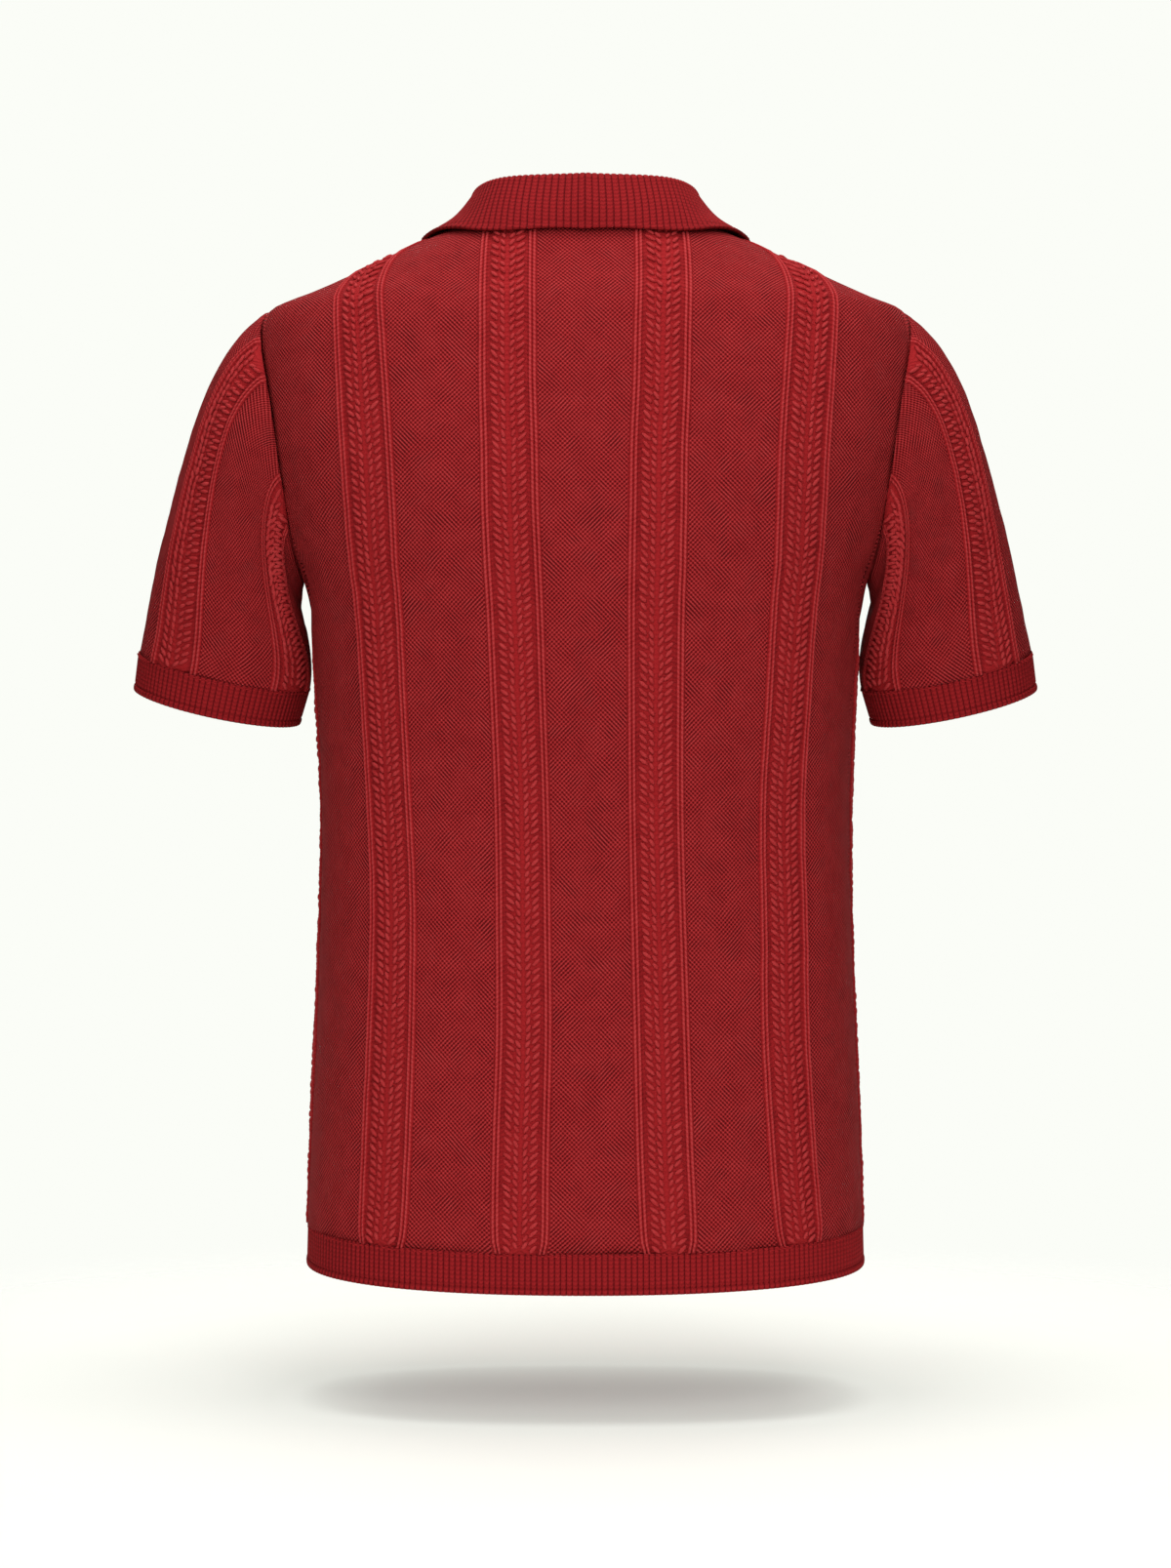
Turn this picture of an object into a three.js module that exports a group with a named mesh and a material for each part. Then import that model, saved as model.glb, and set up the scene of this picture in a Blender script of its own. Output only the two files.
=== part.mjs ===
// Knitted polo shirt, short sleeved, filled out as if worn, with nobody in it.
// Millimetres, +Z up. The front faces -Y, so the wearer's left is +X.
// The origin lies midway between the two points where neck and shoulder meet.

import * as THREE from "three";

// Cloth
const WALL = 1.8;
const SEAM = 0.3;
const RIB_HEIGHT = 0.5;

// Levels of the body, from the neck-shoulder points down
const SHOULDER_TIP_Z = -61.5;
const ARMHOLE_MID_Z = -180;
const UNDERARM_Z = -240;
const HEM_SEAM_Z = -665;
const HEM_END_Z = -691;
const HEM_SAG = 9;
const NECK_FRONT_Z = -72;
const NECK_BACK_RISE = 4;
const PLACKET_END_Z = -225;
const PLACKET_HALF = 15.5;

// Armhole: how far its inner edge lies before the side seam, along the cloth
const ARMHOLE_BITE = 33;
const ARMHOLE_SWEEP = 2.5;
const ARMHOLE_BEND = [18, 34, 46];

// Body sections. square is the exponent of the oval, 2 being an ellipse.
const BODY_SECTIONS = [
  { z: -710, half: 184.5, back: 120, front: 122, square: 2.5 },
  { z: -607, half: 181.7, back: 119, front: 122, square: 2.5 },
  { z: -503, half: 177.5, back: 116, front: 122, square: 2.5 },
  { z: -400, half: 175, back: 114, front: 124, square: 2.45 },
  { z: -308, half: 178.6, back: 118, front: 130, square: 2.4 },
  { z: -262, half: 183, back: 119.5, front: 132, square: 2.4 },
  { z: -240, half: 187.5, back: 120, front: 132, square: 2.4 },
  { z: -212, half: 198.5, back: 119.5, front: 130.5, square: 2.4 },
  { z: -180, half: 208.5, back: 118, front: 126, square: 2.4 },
  { z: -150, half: 215.5, back: 114.5, front: 119, square: 2.4 },
  { z: -110, half: 220, back: 108.5, front: 105, square: 2.3 },
  { z: -85, half: 219, back: 104, front: 93, square: 2.2 },
  { z: -61.5, half: 210, back: 98, front: 79, square: 2.1 },
  { z: -50, half: 184, back: 91, front: 71, square: 2.05 },
  { z: -30, half: 139, back: 80, front: 54, square: 2 },
  { z: -15, half: 105.5, back: 71.5, front: 38, square: 2 },
  { z: 0, half: 72, back: 62, front: 25, square: 2 },
  { z: 12, half: 45, back: 56, front: 12, square: 2 },
];

// Row levels below the middle of the armhole, and shares of the way up from there
const LOWER_ROWS = [HEM_SEAM_Z, -612, -555, -495, -435, -380, -330, -285, PLACKET_END_Z, ARMHOLE_MID_Z];
const UPPER_ROWS = [0.18, 0.36, 0.54, 0.7, 0.85, 1];

// One cable column, across the cloth: two thin ridges, a braid, two thin ridges
const CABLE_HALF = 19;
const CABLE_PROFILE = [
  { across: 19, raise: 0 },
  { across: 17.4, raise: 1 },
  { across: 16, raise: 0.2 },
  { across: 14.6, raise: 1 },
  { across: 12.4, raise: -0.2 },
  { across: 6.5, raise: 1.2 },
  { across: 0, raise: 0.5 },
];
const CABLE_TOP = 1.2;

// Sleeve: cuff plane, size and the way the cloth leaves the armhole
const SLEEVE_GAP = 0.36;
const ARM_OUT = 12.7;
const ARM_FORWARD = 10.5;
const SLEEVE_END = { x: 242.3, y: -19, z: -299.5 };
const SLEEVE_END_HALF = { out: 58, back: 48 };
const CUFF_END_HALF = { out: 56, back: 46.5 };
const CUFF_LENGTH = 25;
const SLEEVE_START = { topOut: 142, topDown: -62, lowOut: 16, lowDown: -62, bulge: 14 };
const SLEEVE_PULL = { top: 222, low: 74 };
const SLEEVE_ROWS = [0, 0.07, 0.18, 0.32, 0.48, 0.65, 0.82, 1];
const SLEEVE_CABLES = { start: [50, 150], end: [50, 138] };

// Ribs, as they repeat round the hem, the cuffs and the collar
const HEM_RIB_PITCH = 3.8;
const CUFF_RIB_PITCH = 3.6;
const COLLAR_RIB_PITCH = 3.4;

// Collar: fold line, free edge and bow of its fall for one half, from the back (0) to its point (1)
const COLLAR_SHEET = 2;
const COLLAR_FOLD_RADIUS = 2.3;
const COLLAR_LINES = [
  { at: 0, fold: [0, 66.5, 18.7], edge: [0, 76, -18.2], bow: 2.5 },
  { at: 0.22, fold: [57, 46, 18.6], edge: [66, 60, -18.8], bow: 1.5 },
  { at: 0.44, fold: [74.5, -2, 13.5], edge: [106, 0, -16], bow: -1.5 },
  { at: 0.62, fold: [69, -45, -1], edge: [107, -56, -45], bow: 0 },
  { at: 0.8, fold: [51, -77, -29], edge: [94, -92, -86], bow: 2 },
  { at: 1, fold: [5, -95, -55], edge: [58, -112, -119], bow: 2.5 },
];
const COLLAR_END_ARC = 4;
const COLLAR_FOOT_GAP = 0.8;

// Placket and buttons
const PLACKET_LAP = 1.8;
const PLACKET_BOTTOM_LAP = 4;
const BUTTON_LEVELS = [-92, -148, -204];
const BUTTON = { radius: 5.7, thick: 2.6, hole: 0.8, holeRing: 1.7 };

const CLOTH_RED = new THREE.MeshStandardMaterial({ color: 0xa01e26, roughness: 0.9, metalness: 0 });
const RIB_RED = new THREE.MeshStandardMaterial({ color: 0x96202a, roughness: 0.9, metalness: 0 });
const BUTTON_RED = new THREE.MeshStandardMaterial({ color: 0x6e1016, roughness: 0.4, metalness: 0 });

const X_AXIS = new THREE.Vector3(1, 0, 0);
const Y_AXIS = new THREE.Vector3(0, 1, 0);
const Z_AXIS = new THREE.Vector3(0, 0, 1);

/** Smooth value of one named column of a table, at a place in its first column. */
function smoothAt(table, place, column, at) {
  let upper = 1;
  while (upper < table.length - 1 && table[upper][place] < at) {
    upper += 1;
  }
  const slope = (index) => {
    const before = table[Math.max(index - 1, 0)];
    const after = table[Math.min(index + 1, table.length - 1)];
    return (after[column] - before[column]) / (after[place] - before[place]);
  };
  const low = table[upper - 1];
  const high = table[upper];
  const span = high[place] - low[place];
  const t = (at - low[place]) / span;
  const start = low[column] * (1 + 2 * t) * (1 - t) ** 2 + slope(upper - 1) * span * t * (1 - t) ** 2;
  const end = high[column] * t * t * (3 - 2 * t) - slope(upper) * span * t * t * (1 - t);
  return start + end;
}

/** The oval of the body at one level: half width, depth on one side, exponent. */
function bodyOval(side, z) {
  return {
    half: smoothAt(BODY_SECTIONS, "z", "half", z),
    depth: smoothAt(BODY_SECTIONS, "z", side, z),
    square: smoothAt(BODY_SECTIONS, "z", "square", z),
  };
}

const OVAL_STEPS = 48;

/** Points of a quarter oval, from the middle to the side, with their distance along it. */
function quarterOval(oval) {
  const points = [];
  let length = 0;
  for (let step = 0; step <= OVAL_STEPS; step += 1) {
    const angle = (step / OVAL_STEPS) * (Math.PI / 2);
    const x = oval.half * Math.sin(angle) ** (2 / oval.square);
    const y = oval.depth * Math.cos(angle) ** (2 / oval.square);
    const last = points[step - 1];
    length += last ? Math.hypot(x - last.x, y - last.y) : 0;
    points.push({ x, y, length });
  }
  return points;
}

const QUARTERS = new Map();

/** The quarter oval of one side of the body at one level, worked out once. */
function bodyQuarter(side, z) {
  const key = `${side} ${z.toFixed(4)}`;
  if (!QUARTERS.has(key)) {
    QUARTERS.set(key, quarterOval(bodyOval(side, z)));
  }
  return QUARTERS.get(key);
}

/** Distance along the cloth from the middle of one side to its side line. */
function quarterLength(side, z) {
  return bodyQuarter(side, z)[OVAL_STEPS].length;
}

const SIDE_ARC = {
  back: quarterLength("back", UNDERARM_Z),
  front: quarterLength("front", UNDERARM_Z),
};
const TIP_ARC = {
  back: quarterLength("back", SHOULDER_TIP_Z),
  front: quarterLength("front", SHOULDER_TIP_Z),
};
const NECK_ARC = {
  back: quarterLength("back", 0),
  front: quarterLength("front", 0),
};

/** Point of the body's outer surface, arc millimetres of cloth from the middle. */
function bodyPoint(side, arc, z) {
  const quarter = bodyQuarter(side, z);
  const whole = quarter[OVAL_STEPS].length;
  const spread = z < UNDERARM_Z ? whole / SIDE_ARC[side] : 1;
  const along = Math.abs(arc) * spread;
  const past = along > whole;
  const reach = past ? 2 * whole - along : along;
  let step = 1;
  while (step < OVAL_STEPS && quarter[step].length < reach) {
    step += 1;
  }
  const from = quarter[step - 1];
  const to = quarter[step];
  const share = (reach - from.length) / (to.length - from.length);
  const x = (from.x + (to.x - from.x) * share) * Math.sign(arc || 1);
  const y = (from.y + (to.y - from.y) * share) * (past ? -1 : 1);
  return new THREE.Vector3(x, side === "back" ? y : -y, z);
}

const PROBE = 1.5;

/** Outward normal of the body's surface. */
function bodyNormal(side, arc, z) {
  const across = bodyPoint(side, arc + PROBE, z).sub(bodyPoint(side, arc - PROBE, z));
  const up = bodyPoint(side, arc, z + PROBE).sub(bodyPoint(side, arc, z - PROBE));
  const normal = across.cross(up).normalize();
  return side === "back" ? normal.negate() : normal;
}

/** Level at which a length of cloth just reaches the shoulder line. */
function shoulderLevel(side, arc) {
  let low = SHOULDER_TIP_Z;
  let high = 0;
  for (let step = 0; step < 30; step += 1) {
    const middle = (low + high) / 2;
    if (quarterLength(side, middle) > arc) {
      low = middle;
    } else {
      high = middle;
    }
  }
  return (low + high) / 2;
}

/** Level of the neckline above a place on the cloth. */
function neckLevel(side, arc) {
  const share = Math.min(Math.abs(arc) / NECK_ARC[side], 1);
  if (side === "back") {
    return NECK_BACK_RISE * (1 - share * share);
  }
  return NECK_FRONT_Z * (1 - share * share) ** 0.87;
}

/** Place of the armhole's edge along the cloth, at one level. */
function armholeArc(side, z) {
  const inner = SIDE_ARC[side] - ARMHOLE_BITE;
  const rise = Math.min(Math.max((z - ARMHOLE_MID_Z) / (SHOULDER_TIP_Z - ARMHOLE_MID_Z), 0), 1);
  return inner + (TIP_ARC[side] - inner) * rise ** ARMHOLE_SWEEP;
}

/** Level of the armhole's lower edge above a place between its inner edge and the side seam. */
function armholeLevel(side, arc) {
  const left = Math.min((SIDE_ARC[side] - Math.abs(arc)) / ARMHOLE_BITE, 1);
  return ARMHOLE_MID_Z + (UNDERARM_Z - ARMHOLE_MID_Z) * Math.sqrt(Math.max(1 - left * left, 0));
}

/**
 * Columns of one cable: arc, height, and whether the plain inside keeps the column.
 * from and to are 1 for a whole side of the cable and 0 to leave that side out.
 */
function cableColumns(middle, from, to) {
  const columns = [];
  for (const row of CABLE_PROFILE) {
    if (from) {
      const kept = row.across === CABLE_HALF || row.across === 0;
      columns.push({ arc: middle - row.across, raise: row.raise, kept });
    }
  }
  if (to) {
    for (const row of CABLE_PROFILE.slice(0, -1).reverse()) {
      columns.push({ arc: middle + row.across, raise: row.raise, kept: row.across === CABLE_HALF });
    }
  }
  return columns;
}

/** Columns of a panel, from its middle to its side seam. */
function panelColumns(side) {
  const seam = SIDE_ARC[side];
  const edge = seam - ARMHOLE_BITE;
  const inner = cableColumns(seam / 5, 1, 1);
  const outer = cableColumns((seam * 3) / 5, 1, 1);
  const outside = outer[outer.length - 1].arc;
  const stretch = [1 / 3, 2 / 3, 1].map((share) => ({
    arc: outside + (edge - outside) * share,
    raise: 0,
    kept: true,
    share,
    outside,
  }));
  const notch = side === "front" ? [{ arc: PLACKET_HALF, raise: 0, kept: true }] : [];
  const neck = { arc: NECK_ARC[side], raise: 0, kept: true };
  const bend = ARMHOLE_BEND.map((angle) => {
    const arc = seam - ARMHOLE_BITE * Math.cos(THREE.MathUtils.degToRad(angle));
    return { arc, raise: 0, kept: true };
  });
  const beside = [...bend, ...cableColumns(seam, 1, 0)].map((column) => ({ ...column, below: true }));
  return [{ arc: 0, raise: 0, kept: true }, ...notch, ...inner, neck, ...outer, ...stretch, ...beside]
    .sort((first, second) => first.arc - second.arc);
}

/** Place on the cloth of a column at a level: those near the armhole sweep out with it. */
function columnArc(side, column, z) {
  if (column.share === undefined) {
    return column.arc;
  }
  return column.outside + (armholeArc(side, z) - column.outside) * column.share;
}

/** Top level of a panel's column, at the neckline or the shoulder seam. */
function columnTop(side, column) {
  if (column.arc <= NECK_ARC[side] + 1e-6) {
    return neckLevel(side, column.arc);
  }
  const arc = column.share === undefined ? column.arc : columnArc(side, column, SHOULDER_TIP_Z);
  return shoulderLevel(side, arc);
}

/** How far the hem hangs below its side level, at a place on the cloth. */
function hemSag(side, arc) {
  const share = arc / SIDE_ARC[side];
  return HEM_SAG * (1 - share * share);
}

/** The panel's outer surface before the knit is raised: rows of places, points and normals. */
function panelGrid(side) {
  const half = panelColumns(side);
  const mirrored = half.slice(1).reverse();
  const signed = [
    ...mirrored.map((column) => ({ ...column, sign: -1 })),
    ...half.map((column) => ({ ...column, sign: 1 })),
  ];
  const rows = [];
  const place = (column, z) => {
    const arc = columnArc(side, column, z) * column.sign;
    return { arc, z, point: bodyPoint(side, arc, z), normal: bodyNormal(side, arc, z) };
  };
  for (const level of LOWER_ROWS) {
    rows.push(signed.map((column) => {
      const share = (ARMHOLE_MID_Z - level) / (ARMHOLE_MID_Z - HEM_SEAM_Z);
      const top = column.below ? armholeLevel(side, column.arc) : ARMHOLE_MID_Z;
      const bottom = HEM_SEAM_Z - hemSag(side, column.arc);
      return place(column, top + (bottom - top) * share);
    }));
  }
  for (const share of UPPER_ROWS) {
    rows.push(signed.map((column) => {
      const z = ARMHOLE_MID_Z + (columnTop(side, column) - ARMHOLE_MID_Z) * share;
      return column.below ? null : place(column, z);
    }));
  }
  return { columns: signed, rows };
}

/**
 * Closed wall between a fine outer grid and the coarser plain grid inside it.
 * kept lists the columns that the inside keeps; has says which cells are cloth.
 */
function wallGeometry({ outer, inner, kept, has, wrap }) {
  const rows = outer.length;
  const width = outer[0].length;
  const spans = kept.length - (wrap ? 0 : 1);
  const positions = [];
  const outerIndex = outer.map((row) => row.map((point) => {
    positions.push(...(point ?? new THREE.Vector3()).toArray());
    return positions.length / 3 - 1;
  }));
  const innerIndex = inner.map((row) => row.map((point) => {
    positions.push(...(point ?? new THREE.Vector3()).toArray());
    return positions.length / 3 - 1;
  }));
  const faces = [];
  const columnsOf = (span) => {
    const first = kept[span];
    const last = span + 1 < kept.length ? kept[span + 1] : width;
    return Array.from({ length: last - first + 1 }, (_, step) => (first + step) % width);
  };
  const present = (row, span) => {
    const inRows = row >= 0 && row < rows - 1;
    const inSpans = wrap || (span >= 0 && span < spans);
    return inRows && inSpans && has(row, kept[(span + spans) % spans]);
  };
  const lines = Array.from({ length: wrap ? spans : spans + 1 }, (_, line) => line);
  for (let row = 0; row < rows; row += 1) {
    for (let span = 0; span < spans; span += 1) {
      const columns = columnsOf(span);
      const next = (span + 1) % kept.length;
      const here = present(row, span);
      const below = present(row - 1, span);
      if (here) {
        for (let step = 0; step < columns.length - 1; step += 1) {
          const [a, b] = [outerIndex[row][columns[step]], outerIndex[row][columns[step + 1]]];
          const [c, d] = [outerIndex[row + 1][columns[step + 1]], outerIndex[row + 1][columns[step]]];
          faces.push([a, b, c], [a, c, d]);
        }
        const [a, b] = [innerIndex[row][span], innerIndex[row][next]];
        const [c, d] = [innerIndex[row + 1][next], innerIndex[row + 1][span]];
        faces.push([a, c, b], [a, d, c]);
      }
      if (here !== below) {
        const hub = innerIndex[row][span];
        const edge = columns.map((column) => outerIndex[row][column]);
        const rim = [];
        for (let step = 0; step < edge.length - 1; step += 1) {
          rim.push([edge[step + 1], edge[step], hub]);
        }
        rim.push([edge[edge.length - 1], hub, innerIndex[row][next]]);
        faces.push(...rim.map((face) => (here ? face : [face[1], face[0], face[2]])));
      }
    }
    for (const line of lines) {
      const right = present(row, line);
      const left = present(row, line - 1);
      if (right !== left) {
        const [a, b] = [outerIndex[row][kept[line]], outerIndex[row + 1][kept[line]]];
        const [c, d] = [innerIndex[row + 1][line], innerIndex[row][line]];
        const rim = [[a, b, c], [a, c, d]];
        faces.push(...rim.map((face) => (right ? face : [face[1], face[0], face[2]])));
      }
    }
  }
  return closedGeometry(positions, faces);
}

/** Geometry from points and faces, turned outward by its volume, without unused points. */
function closedGeometry(positions, faces) {
  const at = (index) => new THREE.Vector3().fromArray(positions, index * 3);
  const volume = faces.reduce((sum, [a, b, c]) => sum + at(a).dot(at(b).cross(at(c))), 0);
  const turned = volume < 0 ? faces.map(([a, b, c]) => [a, c, b]) : faces;
  const used = new Map();
  const tight = [];
  const index = turned.flat().map((old) => {
    if (!used.has(old)) {
      used.set(old, tight.length / 3);
      tight.push(...positions.slice(old * 3, old * 3 + 3));
    }
    return used.get(old);
  });
  const geometry = new THREE.BufferGeometry();
  geometry.setAttribute("position", new THREE.Float32BufferAttribute(tight, 3));
  geometry.setIndex(index);
  geometry.computeVertexNormals();
  return geometry;
}

/** Outer and inner points of a wall from rows of places that have a point and a normal. */
function wallPoints(rows, kept, raise, wall) {
  const outer = rows.map((row, level) => row.map((place, column) => (
    place && place.point.clone().addScaledVector(place.normal, raise(level, column))
  )));
  const inner = rows.map((row) => kept.map((column) => (
    row[column] && row[column].point.clone().addScaledVector(row[column].normal, -wall)
  )));
  return { outer, inner };
}

/** Indices of the columns that the plain inside keeps. */
function keptColumns(columns) {
  return columns.map((column, index) => (column.kept ? index : -1)).filter((index) => index >= 0);
}

/** The panel's grid with its seam edges drawn back by half a seam gap. */
function seamedGrid(side) {
  const grid = panelGrid(side);
  const retreat = SEAM / 2;
  const last = LOWER_ROWS.length - 1;
  grid.rows.forEach((row, level) => row.forEach((place, index) => {
    if (!place) {
      return;
    }
    const column = grid.columns[index];
    let { arc, z } = place;
    if (column.arc >= SIDE_ARC[side] - 1e-6) {
      arc -= retreat * column.sign;
    } else if (column.share === 1 && level >= last) {
      arc -= retreat * column.sign;
    }
    if (level === grid.rows.length - 1 || (level === last && column.below)) {
      z -= retreat;
    }
    place.point = bodyPoint(side, arc, z);
    const atShoulder = level === grid.rows.length - 1 && column.arc > NECK_ARC[side] - 1e-6;
    if (atShoulder) {
      place.point.y = (side === "back" ? 1 : -1) * retreat;
    }
  }));
  return grid;
}

/** One body panel, with its columns raised and, on the front, the placket's notch. */
function panelGeometry(side) {
  const grid = seamedGrid(side);
  const kept = keptColumns(grid.columns);
  const lowerTop = LOWER_ROWS.length - 1;
  const notchRow = LOWER_ROWS.indexOf(PLACKET_END_Z);
  const raise = (level, index) => {
    const column = grid.columns[index];
    const fade = column.below ? Math.min((lowerTop - level) / 2, 1) : 1;
    return column.raise * fade;
  };
  const has = (row, index) => {
    const column = grid.columns[index];
    const next = grid.columns[index + 1];
    const beside = column.below || next.below;
    const place = column.arc * column.sign;
    const inNotch = place >= -PLACKET_HALF && place < PLACKET_HALF;
    const notched = side === "front" && inNotch && row >= notchRow;
    return !(beside && row >= lowerTop) && !notched;
  };
  const { outer, inner } = wallPoints(grid.rows, kept, raise, WALL);
  return wallGeometry({ outer, inner, kept, has, wrap: false });
}

/** Armhole edge of one side as points and normals, from the shoulder tip to the underarm. */
function armholeEdge(side) {
  const grid = panelGrid(side);
  const lowerTop = LOWER_ROWS.length - 1;
  const edgeIndex = grid.columns.findIndex((column) => column.share === 1 && column.sign === 1);
  const upper = grid.rows.slice(lowerTop).reverse().map((row) => row[edgeIndex]);
  const lower = grid.rows[lowerTop].filter((place, index) => (
    grid.columns[index].below && grid.columns[index].sign === 1
  ));
  return [...upper, ...lower];
}

/** Point a share of the way along a line of places, with the normal there. */
function alongLine(places, share) {
  const lengths = [0];
  for (let index = 1; index < places.length; index += 1) {
    lengths.push(lengths[index - 1] + places[index].point.distanceTo(places[index - 1].point));
  }
  const want = share * lengths[lengths.length - 1];
  let index = 1;
  while (index < places.length - 1 && lengths[index] < want) {
    index += 1;
  }
  const part = (want - lengths[index - 1]) / (lengths[index] - lengths[index - 1]);
  const [from, to] = [places[index - 1], places[index]];
  return {
    point: from.point.clone().lerp(to.point, part),
    normal: from.normal.clone().lerp(to.normal, part).normalize(),
  };
}

const ARMHOLE = { back: armholeEdge("back"), front: armholeEdge("front") };

// Directions of the cuff: along the arm, outward and backward across it
const ARM_DOWN = new THREE.Vector3(0, 0, -1)
  .applyAxisAngle(X_AXIS, THREE.MathUtils.degToRad(-ARM_FORWARD))
  .applyAxisAngle(Y_AXIS, THREE.MathUtils.degToRad(-ARM_OUT));
const ARM_BACK = new THREE.Vector3().crossVectors(X_AXIS, ARM_DOWN).normalize();
const ARM_SIDE = new THREE.Vector3().crossVectors(ARM_DOWN, ARM_BACK).normalize();
const SLEEVE_END_POINT = new THREE.Vector3(SLEEVE_END.x, SLEEVE_END.y, SLEEVE_END.z);

/** Point of the left cuff's oval, by turn from the outside (0) to the underarm (1 or -1). */
function cuffOval(turn, size, down) {
  const angle = turn * Math.PI;
  return SLEEVE_END_POINT.clone()
    .addScaledVector(ARM_SIDE, size.out * Math.cos(angle))
    .addScaledVector(ARM_BACK, size.back * Math.sin(angle))
    .addScaledVector(ARM_DOWN, down);
}

/** Point of the left sleeve: turn round it, 0 on top and 1 or -1 underarm; along it 0 to 1. */
function sleevePoint(turn, along) {
  const wrapped = turn > 1 ? turn - 2 : turn < -1 ? turn + 2 : turn;
  const low = (1 - Math.cos(wrapped * Math.PI)) / 2;
  const start = alongLine(wrapped > 0 ? ARMHOLE.back : ARMHOLE.front, Math.abs(wrapped)).point;
  start.x += SLEEVE_GAP;
  const end = cuffOval(wrapped, SLEEVE_END_HALF, 0);
  const leave = new THREE.Vector3(
    THREE.MathUtils.lerp(SLEEVE_START.topOut, SLEEVE_START.lowOut, low),
    SLEEVE_START.bulge * Math.sin(wrapped * Math.PI),
    THREE.MathUtils.lerp(SLEEVE_START.topDown, SLEEVE_START.lowDown, low),
  );
  const arrive = ARM_DOWN.clone().multiplyScalar(THREE.MathUtils.lerp(SLEEVE_PULL.top, SLEEVE_PULL.low, low));
  const t = along;
  return new THREE.Vector3()
    .addScaledVector(start, (1 + 2 * t) * (1 - t) ** 2)
    .addScaledVector(leave, t * (1 - t) ** 2)
    .addScaledVector(end, t * t * (3 - 2 * t))
    .addScaledVector(arrive, -t * t * (1 - t));
}

/** Outward normal of the left sleeve. */
function sleeveNormal(turn, along) {
  const step = 0.012;
  const low = Math.max(along - step, 0);
  const high = Math.min(along + step, 1);
  const around = sleevePoint(turn + step, along).sub(sleevePoint(turn - step, along));
  const down = sleevePoint(turn, high).sub(sleevePoint(turn, low));
  return down.cross(around).normalize();
}

/** Normal for the sleeve's armhole edge, so that the two cut edges face each other. */
function sleeveEdgeNormal(turn) {
  const own = sleeveNormal(turn, 0);
  const panel = alongLine(turn > 0 ? ARMHOLE.back : ARMHOLE.front, Math.abs(turn)).normal;
  const leaving = sleevePoint(turn, 0.02).sub(sleevePoint(turn, 0));
  return leaving.dot(panel) < 0 ? panel : own;
}

const TURN_STEPS = 60;

/** Turns and lengths along one half of the sleeve's ring, from the top to the underarm. */
function halfRing(sign, along) {
  const ring = [{ turn: 0, length: 0 }];
  for (let step = 1; step <= TURN_STEPS; step += 1) {
    const turn = step / TURN_STEPS;
    const from = sleevePoint(sign * (turn - 1 / TURN_STEPS), along);
    const length = ring[step - 1].length + from.distanceTo(sleevePoint(sign * turn, along));
    ring.push({ turn, length });
  }
  return ring;
}

/** Turn at which a length of cloth from the sleeve's top line is reached. */
function turnAt(ring, arc) {
  const whole = ring[TURN_STEPS].length;
  const reach = Math.min(arc, whole);
  const index = Math.max(ring.findIndex((entry) => entry.length >= reach), 1);
  const [from, to] = [ring[index - 1], ring[index]];
  return from.turn + ((to.turn - from.turn) * (reach - from.length)) / (to.length - from.length);
}

/** Columns of a sleeve: arcs at the armhole and the cuff, heights, kept ones; one half. */
function sleeveColumns() {
  const at = (start, end, raise, kept, share) => ({ start, end, raise, kept, share });
  const cable = (number) => {
    const start = cableColumns(SLEEVE_CABLES.start[number], 1, 1);
    const shift = SLEEVE_CABLES.end[number] - SLEEVE_CABLES.start[number];
    return start.map((column) => at(column.arc, column.arc + shift, column.raise, column.kept));
  };
  const inner = cable(0);
  const outer = cable(1);
  const betweenStart = (SLEEVE_CABLES.start[0] + SLEEVE_CABLES.start[1]) / 2;
  const betweenEnd = (SLEEVE_CABLES.end[0] + SLEEVE_CABLES.end[1]) / 2;
  return [at(0, 0, 0, true), ...inner, at(betweenStart, betweenEnd, 0, true), ...outer, at(0, 0, 0, true, 1)];
}

/** Rows of the left sleeve's places, once round from one side of the underarm seam. */
function sleeveGrid() {
  const half = sleeveColumns();
  const round = [
    ...half.slice(1).reverse().map((column) => ({ ...column, sign: -1 })),
    ...half.slice(0, -1).map((column) => ({ ...column, sign: 1 })),
  ];
  const rows = SLEEVE_ROWS.map((along) => {
    const rings = { "-1": halfRing(-1, along), "1": halfRing(1, along) };
    return round.map((column) => {
      const arc = THREE.MathUtils.lerp(column.start, column.end, along);
      const turn = column.sign * (column.share ? 1 : turnAt(rings[column.sign], arc));
      const normal = along === 0 ? sleeveEdgeNormal(turn) : sleeveNormal(turn, along);
      return { point: sleevePoint(turn, along), normal };
    });
  });
  return { columns: round, rows };
}

/** The left sleeve. */
function sleeveGeometry() {
  const grid = sleeveGrid();
  const kept = keptColumns(grid.columns);
  const raise = (level, index) => (level === 0 ? 0 : grid.columns[index].raise);
  const { outer, inner } = wallPoints(grid.rows, kept, raise, WALL);
  return wallGeometry({ outer, inner, kept, has: () => true, wrap: true });
}

/** A geometry on the other side of the shirt. */
function mirrored(geometry) {
  const copy = geometry.clone();
  copy.scale(-1, 1, 1);
  const index = copy.getIndex();
  for (let face = 0; face < index.count; face += 3) {
    const second = index.getX(face + 1);
    index.setX(face + 1, index.getX(face + 2));
    index.setX(face + 2, second);
  }
  copy.computeVertexNormals();
  return copy;
}

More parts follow.
